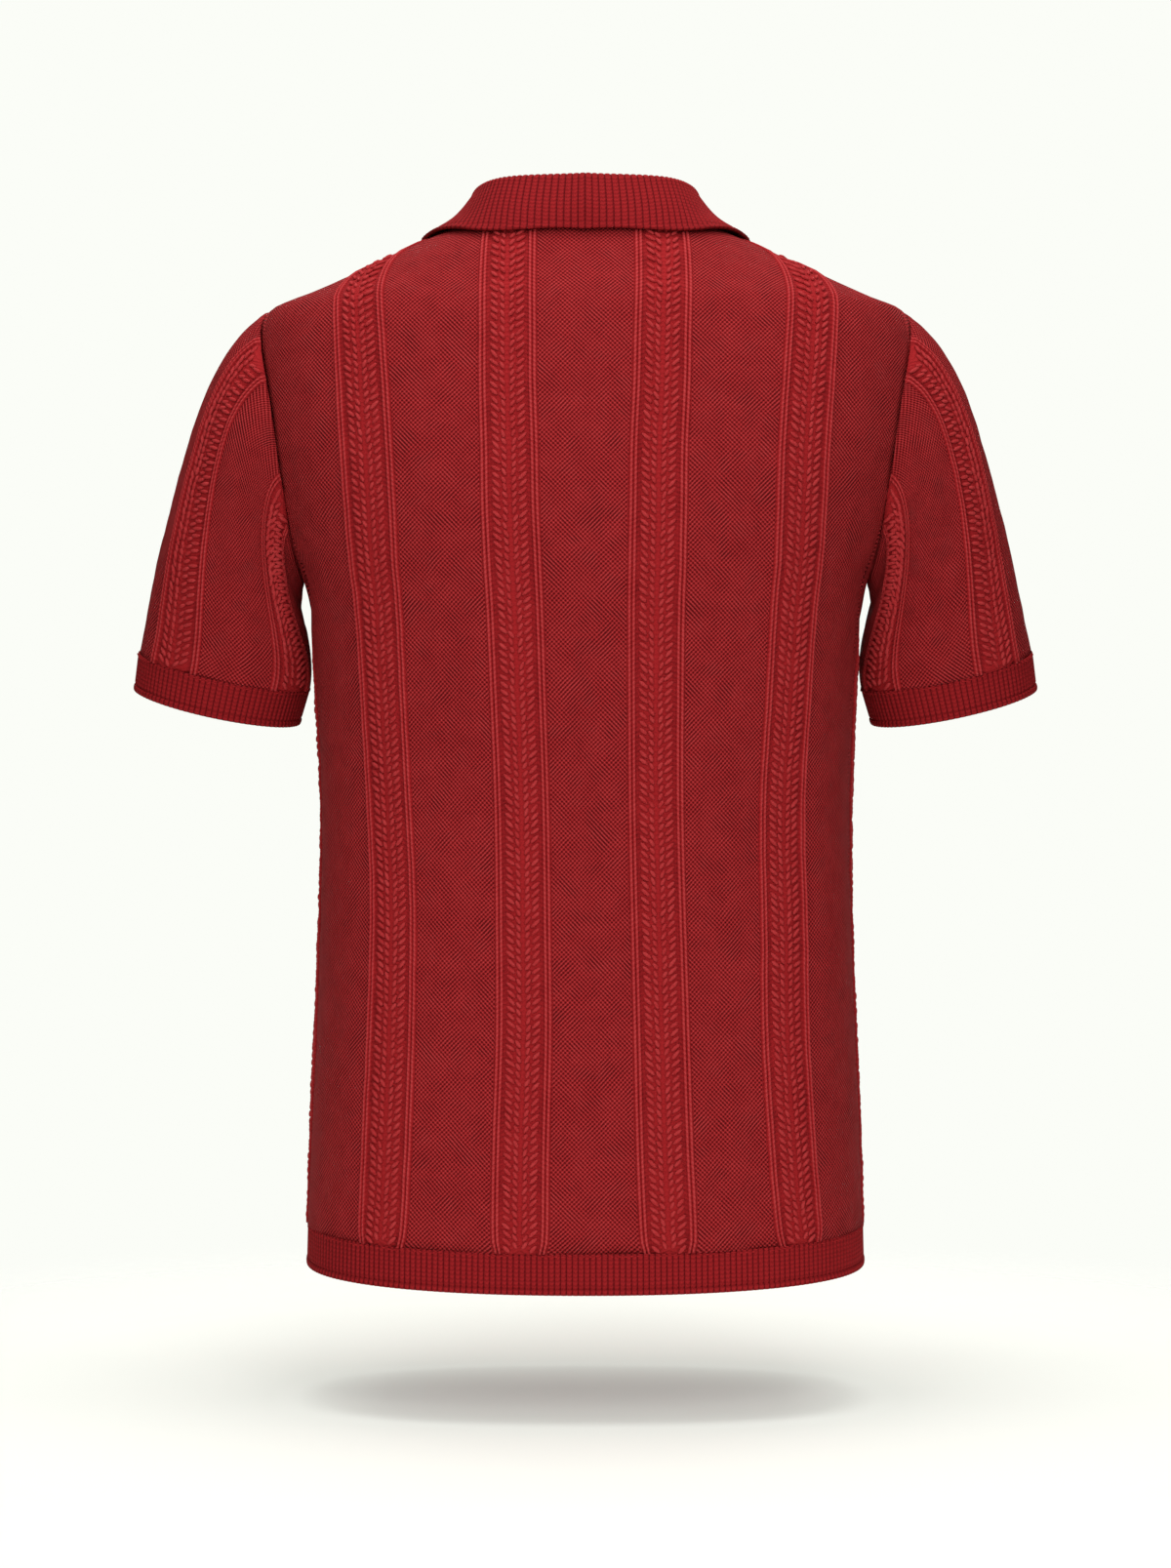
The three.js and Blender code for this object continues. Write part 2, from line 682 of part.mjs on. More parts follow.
/** Ribbed ring: placeAt gives a place on its upper (0) or lower (1) edge for a share of the way round. */
function ribbedRing(length, pitch, placeAt) {
  const ribs = Math.round(length / pitch / 4) * 4;
  const count = ribs * 2;
  const rows = [0, 1].map((row) => Array.from({ length: count }, (_, index) => placeAt(row, index / count)));
  const kept = Array.from({ length: count / 8 }, (_, index) => index * 8);
  const raise = (level, index) => (index % 2 ? RIB_HEIGHT : 0);
  const { outer, inner } = wallPoints(rows, kept, raise, WALL);
  return wallGeometry({ outer, inner, kept, has: () => true, wrap: true });
}

/** The welt round the hem. */
function hemRibGeometry() {
  const length = 2 * (SIDE_ARC.back + SIDE_ARC.front);
  return ribbedRing(length, HEM_RIB_PITCH, (row, share) => {
    const round = share * length - SIDE_ARC.back;
    const onBack = round < SIDE_ARC.back;
    const side = onBack ? "back" : "front";
    const arc = onBack ? round : SIDE_ARC.back + SIDE_ARC.front - round;
    const top = HEM_SEAM_Z - hemSag(side, arc) - SEAM;
    const bottom = HEM_END_Z - hemSag(side, arc);
    const z = top + (bottom - top) * row;
    return { point: bodyPoint(side, arc, z), normal: bodyNormal(side, arc, z) };
  });
}

/** The left cuff's welt. */
function cuffGeometry() {
  const { out, back } = SLEEVE_END_HALF;
  const length = Math.PI * Math.sqrt(2 * (out * out + back * back));
  const centre = cuffOval(0, { out: 0, back: 0 }, 0);
  return ribbedRing(length, CUFF_RIB_PITCH, (row, share) => {
    const turn = share * 2 - 1;
    const down = SEAM + (CUFF_LENGTH - SEAM) * row;
    const size = {
      out: THREE.MathUtils.lerp(out, CUFF_END_HALF.out, row),
      back: THREE.MathUtils.lerp(back, CUFF_END_HALF.back, row),
    };
    const point = cuffOval(turn, size, down);
    const middle = centre.clone().addScaledVector(ARM_DOWN, down);
    const radial = point.clone().sub(middle);
    const normal = new THREE.Vector3()
      .addScaledVector(ARM_SIDE, radial.dot(ARM_SIDE) / (size.out * size.out))
      .addScaledVector(ARM_BACK, radial.dot(ARM_BACK) / (size.back * size.back));
    return { point, normal: normal.normalize() };
  });
}

/** Neck edge of the left half, from the middle of the back to the middle of the front. */
function neckEdge() {
  const edge = [];
  for (const side of ["back", "front"]) {
    const grid = panelGrid(side);
    const top = grid.rows[grid.rows.length - 1];
    const half = top.filter((place, index) => (
      grid.columns[index].sign === 1 && grid.columns[index].arc <= NECK_ARC[side] + 1e-6
    ));
    const started = side === "back" ? half : half.reverse().slice(1);
    edge.push(...started.filter((place) => side === "back" || place.arc >= PLACKET_HALF));
  }
  const z = neckLevel("front", COLLAR_END_ARC);
  edge.push({ point: bodyPoint("front", COLLAR_END_ARC, z), normal: bodyNormal("front", COLLAR_END_ARC, z) });
  return edge;
}

/** How far a point lies outside the body's surface, with the way out of it. */
function outsideBody(point) {
  const level = (x, y, z) => {
    const oval = bodyOval(y < 0 ? "front" : "back", z);
    const sum = Math.abs(x / oval.half) ** oval.square + Math.abs(y / oval.depth) ** oval.square;
    return sum ** (1 / oval.square);
  };
  const { x, y, z } = point;
  const step = 0.5;
  const here = level(x, y, z);
  const way = new THREE.Vector3(
    level(x + step, y, z) - level(x - step, y, z),
    level(x, y + step, z) - level(x, y - step, z),
    level(x, y, z + step) - level(x, y, z - step),
  ).divideScalar(2 * step);
  const steepness = way.length();
  return { distance: (here - 1) / steepness, way: way.divideScalar(steepness) };
}

/** A point moved out of the body until it lies so far from its surface, or at least so far. */
function laidOn(point, clear, touching) {
  const laid = point.clone();
  for (let pass = 0; pass < 4; pass += 1) {
    const { distance, way } = outsideBody(laid);
    if (touching || distance < clear) {
      laid.addScaledVector(way, clear - distance);
    }
  }
  return laid;
}

/** A guide point of the collar, smooth between the rows of its table. */
function collarGuide(line, at) {
  const flat = COLLAR_LINES.map((row) => ({ at: row.at, x: row[line][0], y: row[line][1], z: row[line][2] }));
  const share = Math.min(Math.abs(at), 1);
  const value = (column) => smoothAt(flat, "at", column, share);
  const x = at === 0 ? 0 : value("x");
  return new THREE.Vector3(x, value("y"), value("z"));
}

/** Middle of the collar's sheet across one place: up the stand, over the fold, down the fall. */
function collarSection(edge, at) {
  const neck = alongLine(edge, Math.abs(at));
  const step = 0.01;
  const ahead = alongLine(edge, Math.min(Math.abs(at) + step, 1)).point;
  const behind = alongLine(edge, Math.max(Math.abs(at) - step, 0)).point;
  const inward = ahead.sub(behind).cross(neck.normal).normalize();
  const foot = neck.point.clone().addScaledVector(neck.normal, -WALL / 2);
  const fold = collarGuide("fold", at);
  const free = collarGuide("edge", at);
  const outward = free.clone().sub(foot).setZ(0).normalize();
  const inside = fold.clone().addScaledVector(outward, -COLLAR_FOLD_RADIUS);
  const outside = fold.clone().addScaledVector(outward, COLLAR_FOLD_RADIUS);
  inside.z -= COLLAR_FOLD_RADIUS * 1.6;
  outside.z -= COLLAR_FOLD_RADIUS * 1.6;
  const tilt = inside.clone().sub(foot).normalize().cross(inward).length();
  foot.addScaledVector(inward, COLLAR_FOOT_GAP + (tilt * COLLAR_SHEET) / 2);
  const clear = CABLE_TOP + SEAM + COLLAR_SHEET / 2 + 0.2;
  const fall = [0.5, 1].map((share) => {
    const point = outside.clone().lerp(free, share);
    const bow = Math.sin(share * Math.PI) * smoothAt(COLLAR_LINES, "at", "bow", Math.abs(at));
    return laidOn(point.addScaledVector(outward, bow), clear, share === 1);
  });
  const section = [foot, inside, fold, outside, ...fall];
  if (at < 0) {
    section.forEach((point) => point.setX(-point.x));
  }
  return section;
}

/** The ribbed collar. */
function collarGeometry() {
  const edge = neckEdge();
  const length = 2 * NECK_ARC.back + 250;
  const count = Math.round(length / COLLAR_RIB_PITCH / 8) * 16;
  const sections = Array.from({ length: count + 1 }, (_, index) => (
    collarSection(edge, (index / count) * 2 - 1)
  ));
  const levels = sections[0].length;
  const rows = Array.from({ length: levels }, (_, level) => sections.map((section, index) => {
    const before = sections[Math.max(index - 2, 0)][level];
    const after = sections[Math.min(index + 2, count)][level];
    const under = section[Math.max(level - 1, 0)];
    const over = section[Math.min(level + 1, levels - 1)];
    const normal = over.clone().sub(under).cross(after.clone().sub(before)).normalize();
    const out = normal.multiplyScalar(-1);
    const point = section[level].clone().addScaledVector(out, COLLAR_SHEET / 2);
    return { point, normal: out };
  }));
  const kept = Array.from({ length: count / 8 + 1 }, (_, index) => index * 8);
  const raise = (level, index) => (index % 2 && level > 0 ? RIB_HEIGHT : 0);
  const { outer, inner } = wallPoints(rows, kept, raise, COLLAR_SHEET);
  return wallGeometry({ outer, inner, kept, has: () => true, wrap: false });
}

/** A strip down the middle of the front, so far out from the panel's surface. */
function placketGeometry(half, bottom, lift) {
  const across = [-1, -0.5, 0, 0.5, 1];
  const rows = [];
  const levels = 8;
  for (let row = 0; row <= levels; row += 1) {
    rows.push(across.map((share) => {
      const arc = half * share;
      const top = neckLevel("front", arc) - SEAM;
      const z = bottom + (top - bottom) * (row / levels);
      const normal = bodyNormal("front", arc, z);
      return { point: bodyPoint("front", arc, z).addScaledVector(normal, lift), normal };
    }));
  }
  const kept = across.map((_, index) => index);
  const { outer, inner } = wallPoints(rows, kept, () => 0, WALL);
  return wallGeometry({ outer, inner, kept, has: () => true, wrap: false });
}

/** A four-hole button, its flat back at the origin and its face towards +Z. */
function buttonGeometry() {
  const shape = new THREE.Shape().absarc(0, 0, BUTTON.radius, 0, Math.PI * 2);
  for (let number = 0; number < 4; number += 1) {
    const angle = (number + 0.5) * (Math.PI / 2);
    const x = BUTTON.holeRing * Math.cos(angle);
    const y = BUTTON.holeRing * Math.sin(angle);
    shape.holes.push(new THREE.Path().absarc(x, y, BUTTON.hole, 0, Math.PI * 2, true));
  }
  return new THREE.ExtrudeGeometry(shape, { depth: BUTTON.thick, bevelEnabled: false, curveSegments: 6 });
}

/** A named mesh. */
function piece(name, geometry, material) {
  const mesh = new THREE.Mesh(geometry, material.clone());
  mesh.name = name;
  return mesh;
}

/** A button on the placket at one level. */
function buttonPiece(number, level) {
  const mesh = piece(`button_${number}`, buttonGeometry(), BUTTON_RED);
  const normal = bodyNormal("front", 0, level);
  const lift = SEAM + WALL + SEAM;
  mesh.position.copy(bodyPoint("front", 0, level)).addScaledVector(normal, lift);
  mesh.quaternion.setFromUnitVectors(Z_AXIS, normal);
  return mesh;
}

const shirt = new THREE.Group();
const leftSleeve = sleeveGeometry();
const leftCuff = cuffGeometry();
shirt.add(piece("back", panelGeometry("back"), CLOTH_RED));
shirt.add(piece("front", panelGeometry("front"), CLOTH_RED));
shirt.add(piece("sleeve_left", leftSleeve, CLOTH_RED));
shirt.add(piece("sleeve_right", mirrored(leftSleeve), CLOTH_RED));
shirt.add(piece("hem_rib", hemRibGeometry(), RIB_RED));
shirt.add(piece("cuff_left", leftCuff, RIB_RED));
shirt.add(piece("cuff_right", mirrored(leftCuff), RIB_RED));
shirt.add(piece("collar", collarGeometry(), RIB_RED));
shirt.add(piece("placket_under", placketGeometry(PLACKET_HALF - SEAM, PLACKET_END_Z + SEAM, 0), CLOTH_RED));
const overHalf = PLACKET_HALF + PLACKET_LAP;
const overBottom = PLACKET_END_Z - PLACKET_BOTTOM_LAP;
shirt.add(piece("placket_over", placketGeometry(overHalf, overBottom, SEAM + WALL), CLOTH_RED));
BUTTON_LEVELS.forEach((level, index) => shirt.add(buttonPiece(index + 1, level)));

export default shirt;
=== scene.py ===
"""Knitted polo shirt, filled out as if worn, seen from behind.

Sizes are in millimetres, as in the part's source, and turn into metres where a mesh is made.
"""

import logging
import math
from dataclasses import dataclass
from enum import Enum
from typing import Callable, Iterable, Sequence

import bmesh
import bpy
import numpy as np
from mathutils import Matrix, Vector


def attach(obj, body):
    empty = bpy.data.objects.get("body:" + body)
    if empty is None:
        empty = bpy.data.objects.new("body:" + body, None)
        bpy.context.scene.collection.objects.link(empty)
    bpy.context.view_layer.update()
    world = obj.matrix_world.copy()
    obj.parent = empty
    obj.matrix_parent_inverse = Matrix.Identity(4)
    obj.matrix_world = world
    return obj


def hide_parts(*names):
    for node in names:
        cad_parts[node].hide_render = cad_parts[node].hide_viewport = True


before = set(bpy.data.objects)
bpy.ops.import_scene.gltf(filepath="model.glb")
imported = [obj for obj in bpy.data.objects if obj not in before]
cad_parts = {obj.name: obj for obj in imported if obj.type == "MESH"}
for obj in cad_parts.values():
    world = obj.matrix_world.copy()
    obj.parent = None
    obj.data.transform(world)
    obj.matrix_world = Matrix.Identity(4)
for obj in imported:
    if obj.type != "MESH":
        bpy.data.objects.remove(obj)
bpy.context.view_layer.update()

LOG = logging.getLogger("polo_shirt")
MM = 0.001
BODY = "root"

WALL = 1.8
SEAM = 0.3
SHOULDER_TIP_Z = -61.5
ARMHOLE_MID_Z = -180.0
UNDERARM_Z = -240.0
HEM_SEAM_Z = -665.0
HEM_END_Z = -691.0
HEM_SAG = 9.0
NECK_FRONT_Z = -72.0
NECK_BACK_RISE = 4.0
PLACKET_END_Z = -225.0
PLACKET_HALF = 15.5
ARMHOLE_BITE = 33.0
ARMHOLE_SWEEP = 2.5
CABLE_HALF = 19.0


class Side(Enum):
    """The two faces of the body, with the sign of their Y."""

    BACK = 1
    FRONT = -1


@dataclass(frozen=True)
class BodySection:
    """The body's oval at one level; square is its exponent, 2 being an ellipse."""

    z: float
    half: float
    back: float
    front: float
    square: float


BODY_SECTIONS = (
    BodySection(-710, 184.5, 120, 122, 2.5),
    BodySection(-607, 181.7, 119, 122, 2.5),
    BodySection(-503, 177.5, 116, 122, 2.5),
    BodySection(-400, 175, 114, 124, 2.45),
    BodySection(-308, 178.6, 118, 130, 2.4),
    BodySection(-262, 183, 119.5, 132, 2.4),
    BodySection(-240, 187.5, 120, 132, 2.4),
    BodySection(-212, 198.5, 119.5, 130.5, 2.4),
    BodySection(-180, 208.5, 118, 126, 2.4),
    BodySection(-150, 215.5, 114.5, 119, 2.4),
    BodySection(-110, 220, 108.5, 105, 2.3),
    BodySection(-85, 219, 104, 93, 2.2),
    BodySection(-61.5, 210, 98, 79, 2.1),
    BodySection(-50, 184, 91, 71, 2.05),
    BodySection(-30, 139, 80, 54, 2),
    BodySection(-15, 105.5, 71.5, 38, 2),
    BodySection(0, 72, 62, 25, 2),
    BodySection(12, 45, 56, 12, 2),
)


class SmoothTable:
    """A column of numbers over a rising place, joined by smooth curves."""

    def __init__(self, places: Sequence[float], values: Sequence[float]) -> None:
        """Keep the table and its slopes.

        Args:
            places: rising places.
            values: the value at each place.
        """
        self.places = np.asarray(places, dtype=float)
        self.values = np.asarray(values, dtype=float)
        last = len(self.places) - 1
        before = np.maximum(np.arange(last + 1) - 1, 0)
        after = np.minimum(np.arange(last + 1) + 1, last)
        run = self.places[after] - self.places[before]
        self.slopes = (self.values[after] - self.values[before]) / run

    def at(self, place: np.ndarray) -> np.ndarray:
        """Smooth values at some places.

        Args:
            place: where to read the table.

        Returns:
            The values there.
        """
        upper = np.clip(np.searchsorted(self.places, place), 1, len(self.places) - 1)
        low, high = upper - 1, upper
        span = self.places[high] - self.places[low]
        t = (place - self.places[low]) / span
        rise = self.values[low] * (1 + 2 * t) + self.slopes[low] * span * t
        fall = self.values[high] * (3 - 2 * t) - self.slopes[high] * span * (1 - t)
        return rise * (1 - t) ** 2 + fall * t * t


def smooth_step(value: np.ndarray, low: float, high: float) -> np.ndarray:
    """Ease from 0 at low to 1 at high.

    Args:
        value: numbers to ease.
        low: where the result is 0.
        high: where the result is 1.

    Returns:
        The eased numbers.
    """
    share = np.clip((value - low) / (high - low), 0, 1)
    return share * share * (3 - 2 * share)


def bell(place: np.ndarray, middle: float, width: float) -> np.ndarray:
    """A soft bump, 1 at its middle and nearly 0 from two widths away."""
    return np.exp(-(((place - middle) / width) ** 2))


def dome(place: np.ndarray, middle: float, half: float) -> np.ndarray:
    """A round bump, 1 at its middle and 0 from half its width on."""
    return np.sqrt(np.clip(1 - ((place - middle) / half) ** 2, 0, 1))


def unit(vectors: np.ndarray) -> np.ndarray:
    """Vectors of length 1, over the last axis."""
    return vectors / np.maximum(np.linalg.norm(vectors, axis=-1, keepdims=True), 1e-9)


class BodyForm:
    """The outer surface of the shirt's trunk, by length of cloth and level."""

    steps = 96
    probe = 1.5

    def __init__(self) -> None:
        """Read the sections and measure the cloth at the main levels."""
        places = [section.z for section in BODY_SECTIONS]
        self.half = SmoothTable(places, [section.half for section in BODY_SECTIONS])
        self.depth = {
            Side.BACK: SmoothTable(places, [section.back for section in BODY_SECTIONS]),
            Side.FRONT: SmoothTable(places, [section.front for section in BODY_SECTIONS]),
        }
        self.square = SmoothTable(places, [section.square for section in BODY_SECTIONS])
        self.side_arc = {side: self.reach(side, UNDERARM_Z) for side in Side}
        self.tip_arc = {side: self.reach(side, SHOULDER_TIP_Z) for side in Side}
        self.neck_arc = {side: self.reach(side, 0.0) for side in Side}

    def quarter(self, side: Side, z: np.ndarray) -> tuple[np.ndarray, np.ndarray, np.ndarray]:
        """Quarter ovals at some levels.

        Args:
            side: back or front.
            z: the levels.

        Returns:
            X, Y and length along each quarter, one row a level.
        """
        angle = np.linspace(0, math.pi / 2, self.steps + 1)[None, :]
        power = 2 / self.square.at(z)[:, None]
        x = self.half.at(z)[:, None] * np.sin(angle) ** power
        y = self.depth[side].at(z)[:, None] * np.abs(np.cos(angle)) ** power
        parts = np.hypot(np.diff(x, axis=1), np.diff(y, axis=1))
        length = np.concatenate([np.zeros((len(z), 1)), np.cumsum(parts, axis=1)], axis=1)
        return x, y, length

    def reach(self, side: Side, z: float) -> float:
        """Cloth from the middle of a side to the side line at a level."""
        return float(self.quarter(side, np.array([z]))[2][0, -1])

    def point(self, side: Side, arc: np.ndarray, z: np.ndarray) -> np.ndarray:
        """Points of the surface.

        Args:
            side: back or front.
            arc: cloth from the middle, positive towards the wearer's left.
            z: levels.

        Returns:
            One point a row.
        """
        x, y, length = self.quarter(side, z)
        whole = length[:, -1]
        spread = np.where(z < UNDERARM_Z, whole / self.side_arc[side], 1.0)
        along = np.abs(arc) * spread
        past = along > whole
        reach = np.where(past, 2 * whole - along, along)
        step = np.clip((length < reach[:, None]).sum(axis=1), 1, self.steps)
        rows = np.arange(len(z))
        span = length[rows, step] - length[rows, step - 1]
        share = (reach - length[rows, step - 1]) / span
        px = x[rows, step - 1] + (x[rows, step] - x[rows, step - 1]) * share
        py = y[rows, step - 1] + (y[rows, step] - y[rows, step - 1]) * share
        signs = np.where(arc < 0, -1.0, 1.0)
        return np.stack([px * signs, py * np.where(past, -1, 1) * side.value, z], axis=1)

    def normal(self, side: Side, arc: np.ndarray, z: np.ndarray) -> np.ndarray:
        """Outward normals of the surface.

        Args:
            side: back or front.
            arc: cloth from the middle.
            z: levels.

        Returns:
            One unit vector a row.
        """
        across = self.point(side, arc + self.probe, z) - self.point(side, arc - self.probe, z)
        up = self.point(side, arc, z + self.probe) - self.point(side, arc, z - self.probe)
        return unit(np.cross(across, up)) * -side.value

    def shoulder_level(self, side: Side, arc: np.ndarray) -> np.ndarray:
        """Levels at which lengths of cloth just reach the shoulder line."""
        levels = np.linspace(SHOULDER_TIP_Z, 0, 240)
        reach = self.quarter(side, levels)[2][:, -1]
        return np.interp(arc, reach[::-1], levels[::-1])

    def neck_level(self, side: Side, arc: np.ndarray) -> np.ndarray:
        """Levels of the neckline above places on the cloth."""
        share = np.minimum(np.abs(arc) / self.neck_arc[side], 1)
        if side is Side.BACK:
            return NECK_BACK_RISE * (1 - share * share)
        return NECK_FRONT_Z * (1 - share * share) ** 0.87

    def armhole_arc(self, side: Side, z: np.ndarray) -> np.ndarray:
        """Place of the armhole's edge along the cloth, at some levels."""
        inner = self.side_arc[side] - ARMHOLE_BITE
        rise = np.clip((z - ARMHOLE_MID_Z) / (SHOULDER_TIP_Z - ARMHOLE_MID_Z), 0, 1)
        return inner + (self.tip_arc[side] - inner) * rise**ARMHOLE_SWEEP

    def armhole_level(self, side: Side, arc: np.ndarray) -> np.ndarray:
        """Level of the armhole's lower edge above places near the side seam."""
        left = np.clip((self.side_arc[side] - np.abs(arc)) / ARMHOLE_BITE, 0, 1)
        return ARMHOLE_MID_Z + (UNDERARM_Z - ARMHOLE_MID_Z) * np.sqrt(1 - left * left)

    def hem_sag(self, side: Side, arc: np.ndarray) -> np.ndarray:
        """How far the hem hangs below its side level."""
        return HEM_SAG * (1 - (arc / self.side_arc[side]) ** 2)

    def armhole_line(self, side: Side, count: int = 90) -> np.ndarray:
        """Armhole edge of the left side.

        Args:
            side: back or front.
            count: points on each of its two stretches.

        Returns:
            Points from the shoulder tip to the underarm.
        """
        z = np.linspace(SHOULDER_TIP_Z, ARMHOLE_MID_Z, count)
        upper = self.point(side, self.armhole_arc(side, z), z)
        turn = np.linspace(0, math.pi / 2, count)[1:]
        arc = self.side_arc[side] - ARMHOLE_BITE * np.cos(turn)
        lower = self.point(side, arc, self.armhole_level(side, arc))
        return np.concatenate([upper, lower])


RIDGE_STEPS = (-1.0, -0.8, -0.35, 0.35, 0.8, 1.0)


@dataclass(frozen=True)
class CableRelief:
    """Heights across one cable column: two thin ridges, a braid's bed, two thin ridges."""

    ridges: tuple[float, float] = (17.5, 14.7)
    ridge_half: float = 1.25
    ridge_height: float = 1.4
    valley: float = 12.4
    valley_half: float = 1.1
    valley_depth: float = 0.35
    bed_half: float = 11.0
    bed_height: float = 0.4

    def columns(self) -> np.ndarray:
        """Distances from the column's middle that a grid needs to show its shape."""
        around = [ridge + step * self.ridge_half for ridge in self.ridges for step in RIDGE_STEPS]
        places = [0.0, 4.0, 8.0, self.bed_half, self.valley, CABLE_HALF, *around]
        return np.unique(np.round(np.array(places), 3))

    def height(self, across: np.ndarray) -> np.ndarray:
        """Height of the cloth at distances from the column's middle.

        Args:
            across: distances in millimetres.

        Returns:
            Heights above the plain cloth.
        """
        place = np.abs(across)
        total = np.zeros_like(place)
        for ridge in self.ridges:
            total += self.ridge_height * dome(place, ridge, self.ridge_half)
        total -= self.valley_depth * bell(place, self.valley, self.valley_half)
        return total + self.bed_height * dome(place, 0, self.bed_half)


@dataclass(frozen=True)
class ColumnShift:
    """How far the back's four cable columns stand towards the wearer's left at one level."""

    z: float
    right_outer: float
    right_inner: float
    left_inner: float
    left_outer: float


COLUMN_SHIFTS = (
    ColumnShift(-670, 7, -3, -8.5, -15.5),
    ColumnShift(-610, 12, -0.8, -8.7, -18),
    ColumnShift(-535, 14.5, 0.5, -9.8, -19),
    ColumnShift(-460, 12.3, 1.8, -8.7, -17.5),
    ColumnShift(-385, 12, 3, -7.4, -12.5),
    ColumnShift(-310, 10, 4, -5.6, -10.5),
    ColumnShift(-240, 10.2, 4.8, -4.2, -10.8),
    ColumnShift(-200, 9.7, 4.2, -2.5, -10),
    ColumnShift(-160, 8.8, 3.6, -1.8, -8.4),
    ColumnShift(-120, 6, 1.8, -0.6, -6),
    ColumnShift(-85, 3, 1, -0.4, -3.2),
    ColumnShift(-52, 0, 0, 0, 0),
)


class ColumnDrift:
    """Moves places on the back sideways with its cable columns, which do not hang quite plumb."""

    def __init__(self, centres: Sequence[float]) -> None:
        """Keep the shifts by level.

        Args:
            centres: signed cloth places of the columns and the two side seams, rising.
        """
        self.centres = centres
        levels = [shift.z for shift in COLUMN_SHIFTS]
        names = ("right_outer", "right_inner", "left_inner", "left_outer")
        columns = [[getattr(shift, name) for shift in COLUMN_SHIFTS] for name in names]
        still = [0.0] * len(levels)
        self.shifts = [SmoothTable(levels, column) for column in (still, *columns, still)]

    def at(self, arc: np.ndarray, z: np.ndarray) -> np.ndarray:
        """Shifts at places on the cloth.

        Args:
            arc: signed cloth places.
            z: levels.

        Returns:
            Shifts in millimetres, the same all over the width of a column.
        """
        level = np.clip(z, COLUMN_SHIFTS[0].z, COLUMN_SHIFTS[-1].z)
        values = [shift.at(level) for shift in self.shifts]
        total = np.zeros(np.broadcast(arc, z).shape)
        gaps = zip(self.centres, self.centres[1:], values, values[1:])
        for start, end, low, high in gaps:
            share = (arc - start - CABLE_HALF) / (end - start - 2 * CABLE_HALF)
            total += (high - low) * np.clip(share, 0, 1)
        return total


class Wobble:
    """Smooth repeatable unevenness made of a few waves."""

    shortest, longest = 0.6, 1.7
    full_height = 1.4

    def __init__(self, seed: int, length: float, waves: int = 9) -> None:
        """Draw the waves.

        Args:
            seed: seed of the draw.
            length: typical wave length in millimetres.
            waves: how many waves are added.
        """
        draw = np.random.default_rng(seed)
        turn = draw.uniform(0, 2 * math.pi, waves)
        size = 2 * math.pi / (length * draw.uniform(self.shortest, self.longest, waves))
        self.ways = np.stack([np.cos(turn) * size, np.sin(turn) * size], axis=1)
        self.starts = draw.uniform(0, 2 * math.pi, waves)

    def at(self, u: np.ndarray, v: np.ndarray) -> np.ndarray:
        """Values between about -1 and 1 at places on the cloth."""
        total = np.zeros(np.broadcast(u, v).shape)
        for way, start in zip(self.ways, self.starts):
            total += np.sin(u * way[0] + v * way[1] + start)
        return total / math.sqrt(len(self.starts)) / self.full_height


@dataclass
class ClothGrid:
    """Rows of points of a cloth's outer face with what its material reads."""

    points: np.ndarray
    arc: np.ndarray
    length: np.ndarray
    across: np.ndarray
    cut: np.ndarray | None = None
    wrap: bool = False


class ClothMesh:
    """Makes a mesh of cloth from a bmesh grid whose points are laid on a form."""

    def __init__(self, name: str, grid: ClothGrid) -> None:
        """Keep the piece's name and places.

        Args:
            name: the object's name.
            grid: where its points lie.
        """
        self.name = name
        self.grid = grid

    def make(self, mirrored: bool = False) -> bpy.types.Object:
        """Build the single-layer cloth.

        Args:
            mirrored: lay it on the other side of the shirt.

        Returns:
            The new object.
        """
        rows, columns = self.grid.points.shape[:2]
        bm = bmesh.new()
        bmesh.ops.create_grid(bm, x_segments=columns - 1, y_segments=rows - 1, size=1)
        cloth = bm.loops.layers.uv.new("cloth")
        cable = bm.loops.layers.uv.new("cable")
        places = {}
        for vert in bm.verts:
            column = round((vert.co.x + 1) / 2 * (columns - 1))
            row = round((vert.co.y + 1) / 2 * (rows - 1))
            places[vert.index] = (row, column)
        for face in bm.faces:
            for loop in face.loops:
                row, column = places[loop.vert.index]
                u, v = self.grid.arc[row, column], self.grid.length[row, column]
                loop[cloth].uv = (u * MM, v * MM)
                loop[cable].uv = (self.grid.across[row, column] * MM, v * MM)
        sign = -1 if mirrored else 1
        for vert in bm.verts:
            x, y, z = self.grid.points[places[vert.index]]
            vert.co = (x * MM * sign, y * MM, z * MM)
        if self.grid.cut is not None:
            gone = [
                face
                for face in bm.faces
                if any(self.grid.cut[places[vert.index]] for vert in face.verts)
            ]
            bmesh.ops.delete(bm, geom=gone, context="FACES")
        if self.grid.wrap:
            bmesh.ops.remove_doubles(bm, verts=bm.verts, dist=0.02 * MM)
        return finish_mesh(self.name, bm, self.facing(bm))

    def facing(self, bm: bmesh.types.BMesh) -> bool:
        """Whether the grid's faces look inwards.

        Args:
            bm: the laid mesh.

        Returns:
            True when the faces have to be turned.
        """
        bm.normal_update()
        centre = Vector((0, 0, 0))
        for vert in bm.verts:
            centre += vert.co
        centre /= len(bm.verts)
        if not self.grid.wrap:
            centre.x = 0
            centre.y = 0
        score = 0.0
        for face in bm.faces:
            out = face.calc_center_median() - centre
            out.z = 0
            score += face.normal.dot(out)
        return score < 0


